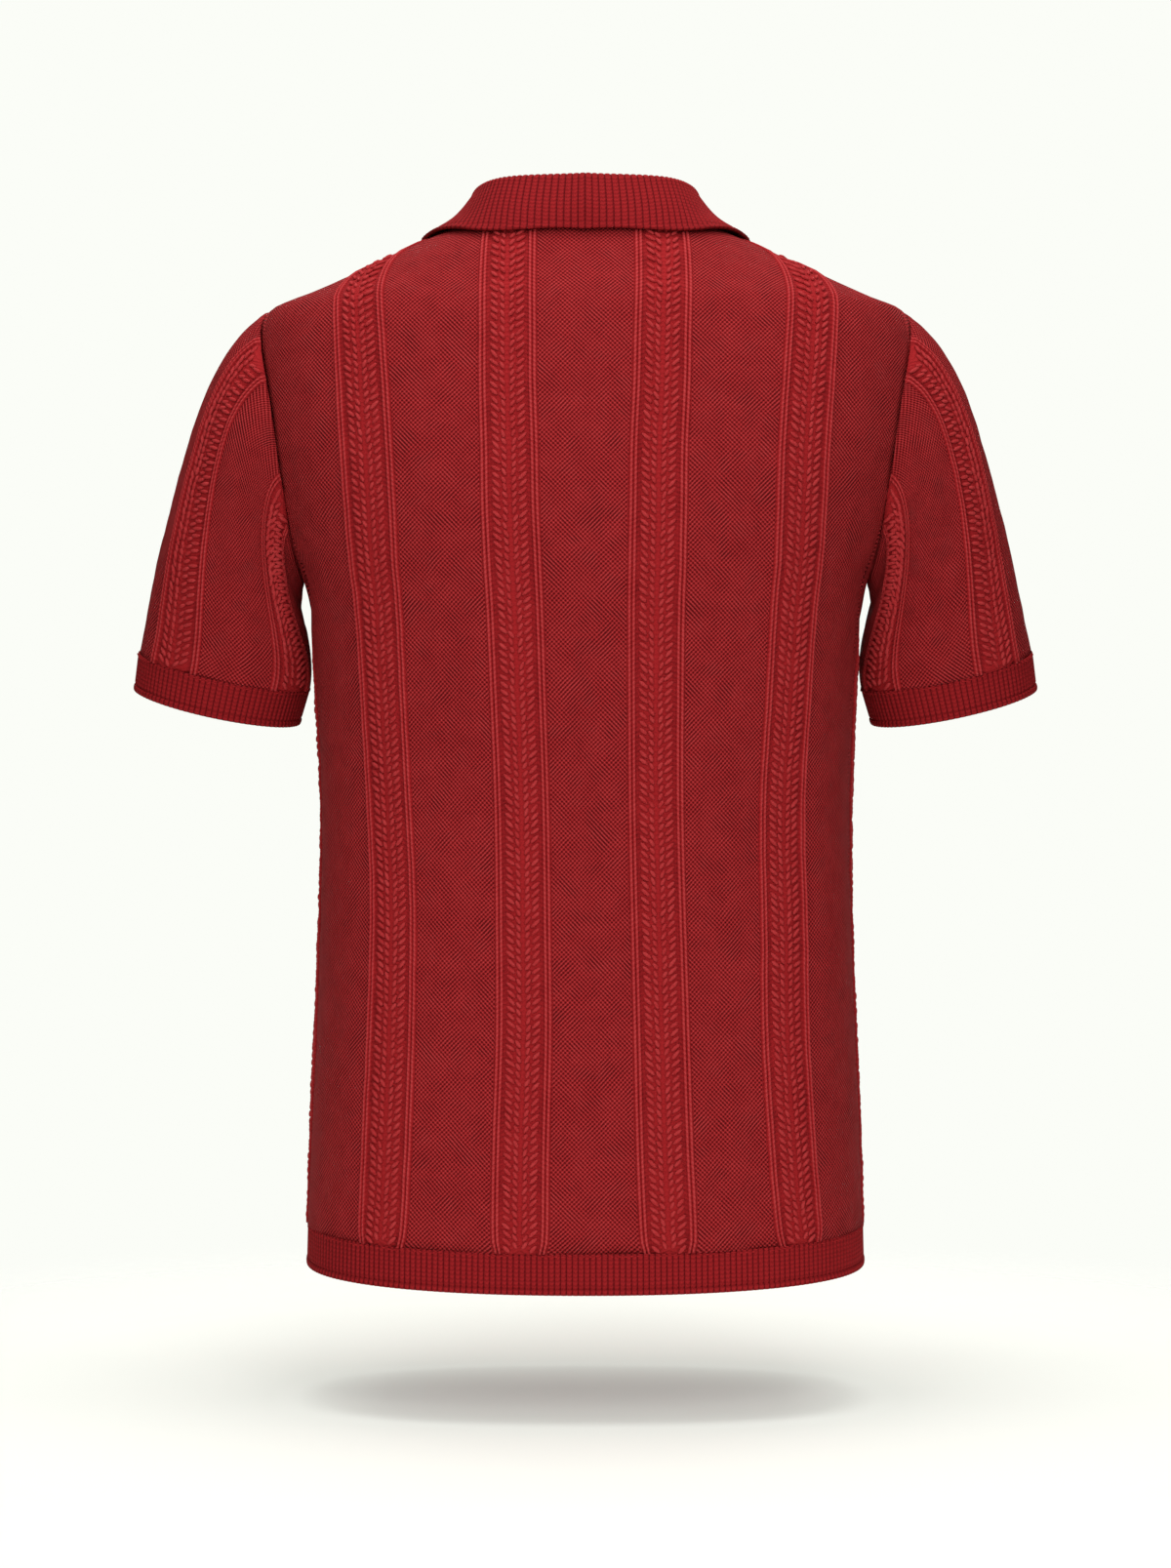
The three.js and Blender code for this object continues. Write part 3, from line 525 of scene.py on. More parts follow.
def finish_mesh(name: str, bm: bmesh.types.BMesh, flip: bool = False) -> bpy.types.Object:
    """Turn a bmesh into a smooth-shaded object of the shirt.

    Args:
        name: the object's name.
        bm: the mesh, which is freed.
        flip: turn the faces round first.

    Returns:
        The linked object, riding on the shirt's body.
    """
    if flip:
        bmesh.ops.reverse_faces(bm, faces=bm.faces)
    mesh = bpy.data.meshes.new(name)
    bm.to_mesh(mesh)
    bm.free()
    for polygon in mesh.polygons:
        polygon.use_smooth = True
    made = bpy.data.objects.new(name, mesh)
    bpy.context.scene.collection.objects.link(made)
    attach(made, BODY)
    return made


def thicken(piece: bpy.types.Object, thickness: float = WALL, offset: float = -1.0) -> None:
    """Give a single layer of cloth its wall.

    Args:
        piece: the cloth.
        thickness: wall in millimetres.
        offset: -1 grows it inwards, 0 to both sides.
    """
    wall = piece.modifiers.new("wall", "SOLIDIFY")
    wall.thickness = thickness * MM
    wall.offset = offset
    wall.use_even_offset = False


def cumulative(points: np.ndarray, axis: int) -> np.ndarray:
    """Length along a grid of points in one of its two directions."""
    parts = np.linalg.norm(np.diff(points, axis=axis), axis=-1)
    start = np.zeros_like(parts.take([0], axis=axis))
    return np.concatenate([start, np.cumsum(parts, axis=axis)], axis=axis)


@dataclass(frozen=True)
class Braid:
    """The four-strand chevron braid on a cable column, one leaf a stitch."""

    strands: tuple[float, ...] = (-8.4, -3.1, 3.1, 8.4)
    pitch: float = 4.9
    outer_length: float = 3.9
    inner_length: float = 3.0
    thick: float = 1.35
    high: float = 1.15
    outer_slant: float = 42.0
    inner_slant: float = 58.0
    lift: float = 0.75
    end_gap: float = 3.0
    below_underarm: float = 34.0
    sink: float = 0.8
    sink_from: float = 22.0
    sink_to: float = 6.0

    def is_outer(self, strand: float) -> bool:
        """Whether a strand is one of the braid's two outer ones."""
        return abs(strand) > self.strands[-1] / 2

    def leaf(self, strand: float) -> tuple[float, float, float]:
        """Half length, half width and half height of a strand's stitches."""
        length = self.outer_length if self.is_outer(strand) else self.inner_length
        return length, self.thick, self.high

    def slant(self, strand: float) -> float:
        """Turn of a strand's stitches, in degrees."""
        return self.outer_slant if self.is_outer(strand) else self.inner_slant


class Stitcher:
    """Lays leaf stitches on a surface by cloth place and way along."""

    batch = 24
    round_segments, long_segments = 7, 5
    slant_spread, size_spread, place_spread = 5, 0.07, 0.18

    def __init__(self, name: str, seed: int) -> None:
        """Start an empty mesh of stitches.

        Args:
            name: the object's name.
            seed: seed of the stitches' unevenness.
        """
        self.name = name
        self.bm = bmesh.new()
        self.parts: list[bmesh.types.BMesh] = []
        self.laid = 0
        self.draw = np.random.default_rng(seed)

    def lay(
        self,
        centre: np.ndarray,
        normal: np.ndarray,
        right: np.ndarray,
        slant: float,
        size: tuple[float, float, float],
    ) -> None:
        """Lay one stitch.

        Args:
            centre: where it lies, in millimetres.
            normal: way out of the cloth.
            right: way across the column, outwards from its middle.
            slant: turn of its long side up from that way, in degrees.
            size: half length, half width and half height in millimetres.
        """
        angle = math.radians(slant + self.draw.normal(0, self.slant_spread))
        up = np.cross(normal, right)
        if up[2] < 0:
            up = -up
        long = right * math.cos(angle) + up * math.sin(angle)
        wide = np.cross(normal, long)
        scale = 1 + self.draw.normal(0, self.size_spread)
        columns = [long * size[0] * scale, wide * size[1], normal * size[2] * scale]
        matrix = Matrix.Identity(4)
        for index, column in enumerate(columns):
            for row in range(3):
                matrix[row][index] = column[row] * MM
        spot = centre + self.draw.normal(0, self.place_spread, 3)
        for row in range(3):
            matrix[row][3] = spot[row] * MM
        bmesh.ops.create_uvsphere(
            self.bm,
            u_segments=self.round_segments,
            v_segments=self.long_segments,
            radius=1,
            matrix=matrix,
        )
        self.laid += 1
        if self.laid % self.batch == 0:
            self.bank()

    def bank(self) -> None:
        """Set the stitches laid so far aside, which keeps each mesh small and quick."""
        self.parts.append(self.bm)
        self.bm = bmesh.new()

    def make(self) -> bpy.types.Object:
        """Join all stitches into one object.

        Returns:
            The object.
        """
        self.bank()
        self.bm.free()
        whole = bmesh.new()
        for part in self.parts:
            mesh = bpy.data.meshes.new("stitches")
            part.to_mesh(mesh)
            part.free()
            whole.from_mesh(mesh)
            bpy.data.meshes.remove(mesh)
        bmesh.ops.recalc_face_normals(whole, faces=whole.faces)
        return finish_mesh(self.name, whole)


class Panel:
    """The back or the front of the shirt, with its cable columns."""

    fold_length, fold_height = 95, 1.1
    pucker_length, pucker_height = 24, 0.22
    calm_from, calm_to = -70, 0
    ground_step, gap_columns, sweep_columns, side_columns = 5.0, 14, 11, 6
    rows_below, rows_above = 71, 29
    pinch, pinch_reach, pinch_fade = 0.13, 5, 8
    notch_inset = 0.5
    side_fade, top_fade = (24, 16), (60, 14)
    drag_slope, drag_drop, drag_half, drag_depth = 0.9, 34, 11, 1.8
    drag_side, drag_top = (20, 95), (70, 20)
    seam_ridge, seam_ridge_at, seam_ridge_half = 0.45, 3.2, 1.9
    seam_groove, seam_groove_half = 0.2, 1.2

    def __init__(self, form: BodyForm, side: Side, seed: int) -> None:
        """Work out the panel's columns.

        Args:
            form: the trunk's surface.
            side: back or front.
            seed: seed of its unevenness.
        """
        self.form = form
        self.side = side
        self.seam = form.side_arc[side]
        self.centres = (self.seam / 5, self.seam * 3 / 5, self.seam)
        edge = self.seam - ARMHOLE_BITE + CABLE_HALF
        inner, outer = self.centres[:2]
        self.drift = ColumnDrift((-edge, -outer, -inner, inner, outer, edge))
        self.relief = CableRelief()
        self.folds = Wobble(seed, self.fold_length)
        self.pucker = Wobble(seed + 1, self.pucker_length)
        self.seed = seed

    def half_columns(self) -> tuple[np.ndarray, np.ndarray, np.ndarray]:
        """Columns from the panel's middle to its side seam.

        Returns:
            Cloth place, share of the sweep to the armhole (or -1), and whether below it.
        """
        fine = self.relief.columns()
        arcs = [np.arange(0, self.centres[0] - CABLE_HALF - 2, self.ground_step)]
        for centre in self.centres[:2]:
            arcs.append(centre + np.concatenate([-fine[::-1], fine[1:]]))
        gap = self.centres[1] - self.centres[0] - 2 * CABLE_HALF
        between = self.centres[0] + CABLE_HALF + np.linspace(0, gap, self.gap_columns)[1:-1]
        arcs.append(between)
        arcs.append([self.form.neck_arc[self.side]])
        if self.side is Side.FRONT:
            arcs.append([PLACKET_HALF])
        plain = np.unique(np.round(np.concatenate(arcs), 3))
        outside = self.centres[1] + CABLE_HALF
        edge = self.seam - ARMHOLE_BITE
        shares = np.linspace(0, 1, self.sweep_columns)[1:]
        swept = outside + (edge - outside) * shares
        beside = np.linspace(edge, self.seam - CABLE_HALF, self.side_columns)[1:-1]
        below = np.concatenate([beside, self.seam - fine[::-1]])
        arc = np.concatenate([plain, swept, below])
        share = np.concatenate([np.full(len(plain), -1.0), shares, np.full(len(below), -1.0)])
        under = np.concatenate([np.zeros(len(plain) + len(swept), bool), np.ones(len(below), bool)])
        return arc, share, under

    def tops(self, arc: np.ndarray, share: np.ndarray) -> np.ndarray:
        """Top level of each column, at the neckline or the shoulder seam."""
        tip = self.form.tip_arc[self.side]
        outside = self.centres[1] + CABLE_HALF
        reach = np.where(share >= 0, outside + (tip - outside) * share, arc)
        neck = self.form.neck_level(self.side, arc)
        shoulder = self.form.shoulder_level(self.side, reach)
        return np.where(arc <= self.form.neck_arc[self.side] + 1e-6, neck, shoulder)

    def across(self, arc: np.ndarray) -> np.ndarray:
        """Distance from the nearest cable column's middle."""
        gaps = [np.abs(np.abs(arc) - centre) for centre in self.centres]
        return np.minimum.reduce(gaps)

    def shifted(self, arc: np.ndarray, z: np.ndarray) -> np.ndarray:
        """Places where the cloth lies once its columns have drifted."""
        return arc + self.drift.at(arc, z) if self.side is Side.BACK else arc

    def pinched(self, arc: np.ndarray, z: np.ndarray) -> np.ndarray:
        """Cloth places drawn towards their column's middle just above the hem rib."""
        above = np.abs(z - HEM_SEAM_Z + self.form.hem_sag(self.side, arc))
        drawn = self.pinch * np.exp(-above / self.pinch_reach)
        place = np.abs(arc)
        for centre in self.centres:
            gap = place - centre
            end = CABLE_HALF + self.pinch_fade
            weight = drawn * (1 - smooth_step(np.abs(gap), CABLE_HALF, end))
            place = centre + gap * (1 - weight)
        return place * np.where(arc < 0, -1, 1)

    def grid(self) -> ClothGrid:
        """Lay the panel's grid.

        Returns:
            Its points and what its material reads.
        """
        half_arc, half_share, half_under = self.half_columns()
        arc = np.concatenate([-half_arc[:0:-1], half_arc])
        share = np.concatenate([half_share[:0:-1], half_share])
        under = np.concatenate([half_under[:0:-1], half_under])
        size = np.abs(arc)
        low_top = np.where(under, self.form.armhole_level(self.side, size), ARMHOLE_MID_Z)
        foot = self.shifted(arc, np.full(arc.shape, HEM_SEAM_Z))
        bottom = HEM_SEAM_Z - self.form.hem_sag(self.side, foot)
        lower = np.linspace(0, 1, self.rows_below)[:, None]
        z_low = bottom + (low_top - bottom) * lower
        upper = np.linspace(0, 1, self.rows_above)[1:, None]
        top = self.tops(size, share) - SEAM / 2
        z_up = np.where(under, low_top, ARMHOLE_MID_Z + (top - ARMHOLE_MID_Z) * upper)
        z = np.concatenate([z_low, z_up])
        outside = self.centres[1] + CABLE_HALF
        swept = outside + (self.form.armhole_arc(self.side, z) - outside) * share
        places = np.where(share >= 0, swept, size) * np.where(arc < 0, -1, 1)
        edge = (size >= self.seam - 1e-6) | (share >= 1)
        places = places - np.where(edge, SEAM / 2, 0) * np.sign(arc)
        return self.laid(places, z, np.broadcast_to(under, z.shape), len(z_low))

    def laid(self, arc: np.ndarray, z: np.ndarray, under: np.ndarray, low_rows: int) -> ClothGrid:
        """Lay places on the trunk and raise the knit.

        Args:
            arc: cloth places, one row a level.
            z: levels.
            under: which columns end below the armhole.
            low_rows: rows up to the middle of the armhole.

        Returns:
            The grid.
        """
        shape = arc.shape
        drawn = self.shifted(self.pinched(arc, z), z)
        flat = (self.side, drawn.ravel(), z.ravel())
        points = self.form.point(*flat).reshape(*shape, 3)
        normals = self.form.normal(*flat).reshape(*shape, 3)
        across = self.across(arc)
        raised = self.relief.height(across) * self.fading(arc, z)
        raised += self.creases(arc, z)
        points = points + normals * raised[..., None]
        cut = np.zeros(shape, bool)
        cut[low_rows:, :] = under[low_rows:, :]
        if self.side is Side.FRONT:
            notch = (np.abs(arc) < PLACKET_HALF - self.notch_inset) & (z > PLACKET_END_Z)
            cut |= notch
        length = cumulative(points, 0)
        return ClothGrid(points, self.shifted(arc, z), length, across, cut)

    def fading(self, arc: np.ndarray, z: np.ndarray) -> np.ndarray:
        """Share of the relief left near the underarm, where the cloth folds in."""
        start, end = (self.seam - reach for reach in self.side_fade)
        near_side = smooth_step(np.abs(arc), start, end)
        start, end = (UNDERARM_Z - drop for drop in self.top_fade)
        return 1 - near_side * smooth_step(z, start, end)

    def creases(self, arc: np.ndarray, z: np.ndarray) -> np.ndarray:
        """Soft unevenness of the worn cloth, with drag lines below the armholes.

        Args:
            arc: cloth places.
            z: levels.

        Returns:
            Heights in millimetres.
        """
        calm = 1 - smooth_step(z, self.calm_from, self.calm_to)
        soft = self.fold_height * self.folds.at(arc, z * 0.45) * calm
        fine = self.pucker_height * self.pucker.at(arc, z)
        reach = self.seam - np.abs(arc)
        drag = z - UNDERARM_Z - self.drag_slope * reach + self.drag_drop
        trough = -self.drag_depth * bell(drag, 0, self.drag_half)
        trough = trough * (1 - smooth_step(reach, *self.drag_side))
        start, end = (UNDERARM_Z - drop for drop in self.drag_top)
        trough *= smooth_step(z, start, end)
        edge = self.form.armhole_arc(self.side, z) - np.abs(arc)
        inside = np.where(z > ARMHOLE_MID_Z - 20, edge, 99)
        seam = self.seam_ridge * bell(inside, self.seam_ridge_at, self.seam_ridge_half)
        seam = seam - self.seam_groove * bell(inside, 0, self.seam_groove_half)
        return soft + fine + trough + seam

    def build(self) -> bpy.types.Object:
        """Make the panel's cloth.

        Returns:
            The object, with its wall.
        """
        name = "back_knit" if self.side is Side.BACK else "front_knit"
        cloth = ClothMesh(name, self.grid()).make()
        thicken(cloth)
        return cloth

    def stitches(self) -> bpy.types.Object:
        """Lay the braids' stitches on every cable column of the panel.

        Returns:
            The object.
        """
        name = "back_braids" if self.side is Side.BACK else "front_braids"
        braid = Braid()
        stitcher = Stitcher(name, self.seed + 5)
        for centre in (-self.centres[1], -self.centres[0], *self.centres[:2]):
            self.braid_column(stitcher, braid, centre, braid.strands)
        for sign in (-1, 1):
            inner = tuple(strand for strand in braid.strands if strand < 0)
            strands = tuple(sign * strand for strand in inner)
            self.braid_column(stitcher, braid, sign * self.centres[2], strands)
        return stitcher.make()

    def braid_column(
        self, stitcher: Stitcher, braid: Braid, centre: float, strands: Iterable[float]
    ) -> None:
        """Lay one braid.

        Args:
            stitcher: where the stitches go.
            braid: its sizes.
            centre: cloth place of the column.
            strands: which strands, by distance from the middle.
        """
        size = np.array([abs(centre)])
        at_side = abs(centre) >= self.seam - 1
        top = self.tops(size, np.array([-1.0]))[0] - braid.end_gap
        if at_side:
            top = UNDERARM_Z - braid.below_underarm
        bottom = HEM_SEAM_Z - self.form.hem_sag(self.side, size)[0] + braid.end_gap
        for strand in strands:
            count = int((top - bottom) / braid.pitch)
            z = bottom + braid.pitch * (np.arange(count) + (0 if braid.is_outer(strand) else 0.5))
            flat = np.full(count, centre + strand)
            arc = self.shifted(flat, z)
            point = self.form.point(self.side, arc, z)
            normal = self.form.normal(self.side, arc, z)
            beside = self.form.point(self.side, arc + math.copysign(1, strand), z)
            right = unit(beside - point)
            sunk = braid.sink * smooth_step(z, top - braid.sink_from, top - braid.sink_to)
            lift = (braid.lift - sunk) * self.fading(flat, z) + self.creases(flat, z)
            lift += self.relief.height(np.full(count, strand)) * 0.5
            spots = point + normal * lift[:, None]
            for spot, way, out in zip(spots, right, normal):
                stitcher.lay(spot, out, way, braid.slant(strand), braid.leaf(strand))


SLEEVE_GAP = 0.08
ARM_OUT = 12.7
ARM_FORWARD = 10.5
CUFF_LENGTH = 25.0
SLEEVE_CABLES = ((50.0, 50.0), (150.0, 138.0))


def lerp(start: float, end: float, share: np.ndarray) -> np.ndarray:
    """Mix of two values by a share."""
    return start + (end - start) * share


class SleeveForm:
    """The outer surface of the left sleeve, by turn round it and share of its length."""

    end = np.array([242.3, -19.0, -299.5])
    end_out, end_back = 58.0, 48.0
    cuff_out, cuff_back = 56.0, 46.5
    top_out, top_down, low_out, low_down, bulge = 142.0, -62.0, 16.0, -62.0, 14.0
    pull_top, pull_low = 222.0, 74.0
    step = 0.012

    def __init__(self, body: BodyForm) -> None:
        """Measure the armhole and the arm's directions.

        Args:
            body: the trunk's surface.
        """
        self.lines = {side: body.armhole_line(side) for side in Side}
        self.shares = {}
        for side, line in self.lines.items():
            length = cumulative(line, 0)
            self.shares[side] = length / length[-1]
        down = Matrix.Rotation(math.radians(-ARM_FORWARD), 3, "X") @ Vector((0, 0, -1))
        down = Matrix.Rotation(math.radians(-ARM_OUT), 3, "Y") @ down
        self.down = np.array(down)
        self.back = unit(np.cross([1.0, 0.0, 0.0], self.down))
        self.out = unit(np.cross(self.down, self.back))

    def start(self, turn: np.ndarray) -> np.ndarray:
        """Points of the sleeve's armhole edge."""
        points = np.zeros((len(turn), 3))
        for side, here in ((Side.BACK, turn > 0), (Side.FRONT, turn <= 0)):
            for axis in range(3):
                values = np.interp(np.abs(turn), self.shares[side], self.lines[side][:, axis])
                points[:, axis] = np.where(here, values, points[:, axis])
        points[:, 0] += SLEEVE_GAP
        return points

    def oval(self, turn: np.ndarray, out: np.ndarray, back: np.ndarray, down: np.ndarray) -> np.ndarray:
        """Points of the cuff's oval, its halves and the length down the arm given."""
        angle = (turn * math.pi)[:, None]
        across = self.out * np.cos(angle) * np.reshape(out, (-1, 1))
        across = across + self.back * np.sin(angle) * np.reshape(back, (-1, 1))
        return self.end + across + self.down * np.reshape(down, (-1, 1))

    def point(self, turn: np.ndarray, along: np.ndarray) -> np.ndarray:
        """Points of the sleeve.

        Args:
            turn: 0 on top, 1 or -1 at the underarm seam, positive at the back.
            along: 0 at the armhole, 1 at the cuff.

        Returns:
            One point a row.
        """
        wrapped = np.where(turn > 1, turn - 2, np.where(turn < -1, turn + 2, turn))
        low = (1 - np.cos(wrapped * math.pi)) / 2
        start = self.start(wrapped)
        end = self.oval(wrapped, self.end_out, self.end_back, 0.0)
        leave = np.stack(
            [
                lerp(self.top_out, self.low_out, low),
                self.bulge * np.sin(wrapped * math.pi),
                lerp(self.top_down, self.low_down, low),
            ],
            axis=1,
        )
        arrive = self.down * lerp(self.pull_top, self.pull_low, low)[:, None]
        t = along[:, None]
        point = start * (1 + 2 * t) * (1 - t) ** 2 + leave * t * (1 - t) ** 2
        return point + end * t * t * (3 - 2 * t) - arrive * t * t * (1 - t)

    def normal(self, turn: np.ndarray, along: np.ndarray) -> np.ndarray:
        """Outward normals of the sleeve."""
        low, high = np.maximum(along - self.step, 0), np.minimum(along + self.step, 1)
        around = self.point(turn + self.step, along) - self.point(turn - self.step, along)
        down = self.point(turn, high) - self.point(turn, low)
        return unit(np.cross(down, around))

    def turn_at(self, arc: np.ndarray, along: float) -> np.ndarray:
        """Turns at lengths of cloth from the top line, both halves alike.

        Args:
            arc: signed lengths round the sleeve.
            along: share of the sleeve's length.

        Returns:
            Signed turns.
        """
        turns = np.linspace(0, 1, 121)
        places = np.full(len(turns), along)
        signs = np.where(arc < 0, -1.0, 1.0)
        found = np.zeros(len(arc))
        for sign in (-1.0, 1.0):
            length = cumulative(self.point(turns * sign, places), 0)
            there = np.interp(np.abs(arc), length, turns)
            found = np.where(signs == sign, there, found)
        return found * signs

    def half_length(self, along: float, sign: float) -> float:
        """Cloth from the top line to the underarm seam."""
        turns = np.linspace(0, 1, 121)
        return float(cumulative(self.point(turns * sign, np.full(121, along)), 0)[-1])


class Sleeve:
    """One set-in short sleeve with two cable columns on each half."""

    rows, row_crowding = 62, 1.15
    fold_length, fold_height = 70, 1.0
    pucker_length, pucker_height = 22, 0.2
    calm_end = 0.25
    top_columns, gap_columns, rest_columns = 7, 12, 9
    seam_ridge, seam_ridge_at, seam_ridge_half = 0.6, 3.6, 2.4
    seam_groove, seam_groove_half = 0.15, 1.4
    fold_down, fold_reach, fold_slope, fold_half, fold_depth = 26, 235, 0.12, 9, 2.2
    fold_start, fold_full = 150, 215
    relief_start = 5
    first_stitch, last_stitch = 5.0, 2.5

    def __init__(self, form: SleeveForm, seed: int) -> None:
        """Keep the form and draw the unevenness.

        Args:
            form: the sleeve's surface.
            seed: seed of its unevenness.
        """
        self.form = form
        self.seed = seed
        self.relief = CableRelief()
        self.folds = Wobble(seed, self.fold_length)
        self.pucker = Wobble(seed + 1, self.pucker_length)

    def half_columns(self) -> tuple[np.ndarray, np.ndarray, np.ndarray, np.ndarray]:
        """Columns of one half, from the top line to the underarm.

        Returns:
            Lengths at the armhole and at the cuff, share of the rest, distance from a cable.
        """
        fine = self.relief.columns()
        both = np.concatenate([-fine[::-1], fine[1:]])
        first, second = SLEEVE_CABLES
        lead = np.linspace(0, first[0] - CABLE_HALF, self.top_columns)[:-1]
        gaps = np.linspace(0, 1, self.gap_columns)[1:-1]
        start = [lead, first[0] + both]
        end = [lead, first[1] + both]
        start.append(lerp(first[0] + CABLE_HALF, second[0] - CABLE_HALF, gaps))
        end.append(lerp(first[1] + CABLE_HALF, second[1] - CABLE_HALF, gaps))
        start.append(second[0] + both)
        end.append(second[1] + both)
        start, end = np.concatenate(start), np.concatenate(end)
        rest = np.linspace(0, 1, self.rest_columns)[1:]
        share = np.concatenate([np.zeros(len(start)), rest])
        start = np.concatenate([start, np.full(len(rest), start[-1])])
        end = np.concatenate([end, np.full(len(rest), end[-1])])
        across = np.minimum(np.abs(start - first[0]), np.abs(start - second[0]))
        across = np.where(share > 0, CABLE_HALF + share * 20, across)
        return start, end, share, across

    def creases(self, arc: np.ndarray, length: np.ndarray, along: np.ndarray) -> np.ndarray:
        """Soft unevenness, and the fold that leaves the underarm.

        Args:
            arc: lengths round the sleeve.
            length: lengths down it.
            along: share of its length.

        Returns:
            Heights in millimetres.
        """
        calm = smooth_step(along, 0.0, self.calm_end)
        soft = self.fold_height * self.folds.at(arc, length * 0.5) * calm
        fine = self.pucker_height * self.pucker.at(arc, length)
        seam = self.seam_ridge * bell(length, self.seam_ridge_at, self.seam_ridge_half)
        seam = seam - self.seam_groove * bell(length, 0, self.seam_groove_half)
        beside = length - self.fold_down + (self.fold_reach - np.abs(arc)) * self.fold_slope
        fold = -self.fold_depth * bell(beside, 0, self.fold_half)
        fold *= smooth_step(np.abs(arc), self.fold_start, self.fold_full)
        return soft + fine + seam + fold

    def grid(self) -> ClothGrid:
        """Lay the sleeve's grid.

        Returns:
            Its points and what its material reads.
        """
        start, end, share, across = self.half_columns()
        sign = np.concatenate([-np.ones(len(start)), np.ones(len(start) - 1)])
        pick = np.concatenate([np.arange(len(start))[::-1], np.arange(1, len(start))])
        start, end, share, across = start[pick], end[pick], share[pick], across[pick]
        places = np.linspace(0, 1, self.rows) ** self.row_crowding
        arcs, turns = [], []
        for along in places:
            arc = lerp(start, end, along)
            whole = np.where(
                sign < 0,
                self.form.half_length(along, -1.0),
                self.form.half_length(along, 1.0),
            )
            arc = arc + (whole - arc) * share
            arcs.append(arc * sign)
            turns.append(self.form.turn_at(arc * sign, along))
        arc, turn = np.array(arcs), np.array(turns)
        along = np.broadcast_to(places[:, None], arc.shape)
        points = self.form.point(turn.ravel(), along.ravel()).reshape(*arc.shape, 3)
        normals = self.form.normal(turn.ravel(), along.ravel()).reshape(*arc.shape, 3)
        length = cumulative(points, 0)
        raised = self.relief.height(across)[None, :] * smooth_step(length, 0, self.relief_start)
        raised = raised + self.creases(arc, length, along)
        points = points + normals * raised[..., None]
        wide = np.broadcast_to(across, arc.shape)
        return ClothGrid(points, arc, length - length[-1:], wide, wrap=True)

    def build(self, name: str, mirrored: bool) -> bpy.types.Object:
        """Make the sleeve's cloth.

        Args:
            name: the object's name.
            mirrored: whether it is the right one.

        Returns:
            The object, with its wall.
        """
        cloth = ClothMesh(name, self.grid()).make(mirrored)
        thicken(cloth)
        return cloth

    def stitches(self, name: str, mirrored: bool) -> bpy.types.Object:
        """Lay the braids' stitches.

        Args:
            name: the object's name.
            mirrored: whether it is the right sleeve.

        Returns:
            The object.
        """
        braid = Braid()
        stitcher = Stitcher(name, self.seed + 3)
        for sign in (-1, 1):
            for cable in SLEEVE_CABLES:
                for strand in braid.strands:
                    self.strand(stitcher, braid, sign, cable, strand, mirrored)
        return stitcher.make()

    def strand(
        self,
        stitcher: Stitcher,
        braid: Braid,
        sign: int,
        cable: tuple[float, float],
        strand: float,
        mirrored: bool,
    ) -> None:
        """Lay one strand of one braid, from the armhole to the cuff.

        Args:
            stitcher: where the stitches go.
            braid: its sizes.
            sign: which half of the sleeve.
            cable: the column's place at the armhole and the cuff.
            strand: distance from the column's middle.
            mirrored: whether it is the right sleeve.
        """
        along = np.linspace(0, 1, 160)
        arcs = lerp(cable[0], cable[1], along) + strand
        turns = np.array([
            self.form.turn_at(np.array([arc * sign]), place)[0]
            for arc, place in zip(arcs, along)
        ])
        line = self.form.point(turns, along)
        length = cumulative(line, 0)
        first = self.first_stitch + (0 if braid.is_outer(strand) else braid.pitch / 2)
        stops = np.arange(first, length[-1] - self.last_stitch, braid.pitch)
        at = np.interp(stops, length, along)
        turn = np.interp(stops, length, turns)
        point = self.form.point(turn, at)
        normal = self.form.normal(turn, at)
        step = math.copysign(0.006, strand) * sign
        beside = self.form.point(turn + step, at)
        right = unit(beside - point)
        arc = np.interp(stops, length, arcs)
        lift = braid.lift + self.creases(arc * sign, stops, at)
        lift += self.relief.height(np.full(len(stops), strand)) * 0.5
        spots = point + normal * lift[:, None]
        slant, size = braid.slant(strand), braid.leaf(strand)
        flip = np.array([-1.0, 1.0, 1.0]) if mirrored else np.ones(3)
        for spot, way, out in zip(spots, right, normal):
            stitcher.lay(spot * flip, out * flip, way * flip, slant, size)


@dataclass(frozen=True)
class RibPattern:
    """Round ribs side by side, a few grid columns each."""

    pitch: float
    height: float = 0.75
    columns: int = 4

    def count(self, length: float) -> int:
        """How many whole ribs lie round a length."""
        return round(length / self.pitch / 4) * 4

    def profile(self, index: np.ndarray) -> np.ndarray:
        """Heights of grid columns, lowest between two ribs."""
        phase = (index % self.columns) / self.columns
        return self.height * np.sqrt(np.abs(np.sin(phase * math.pi)))


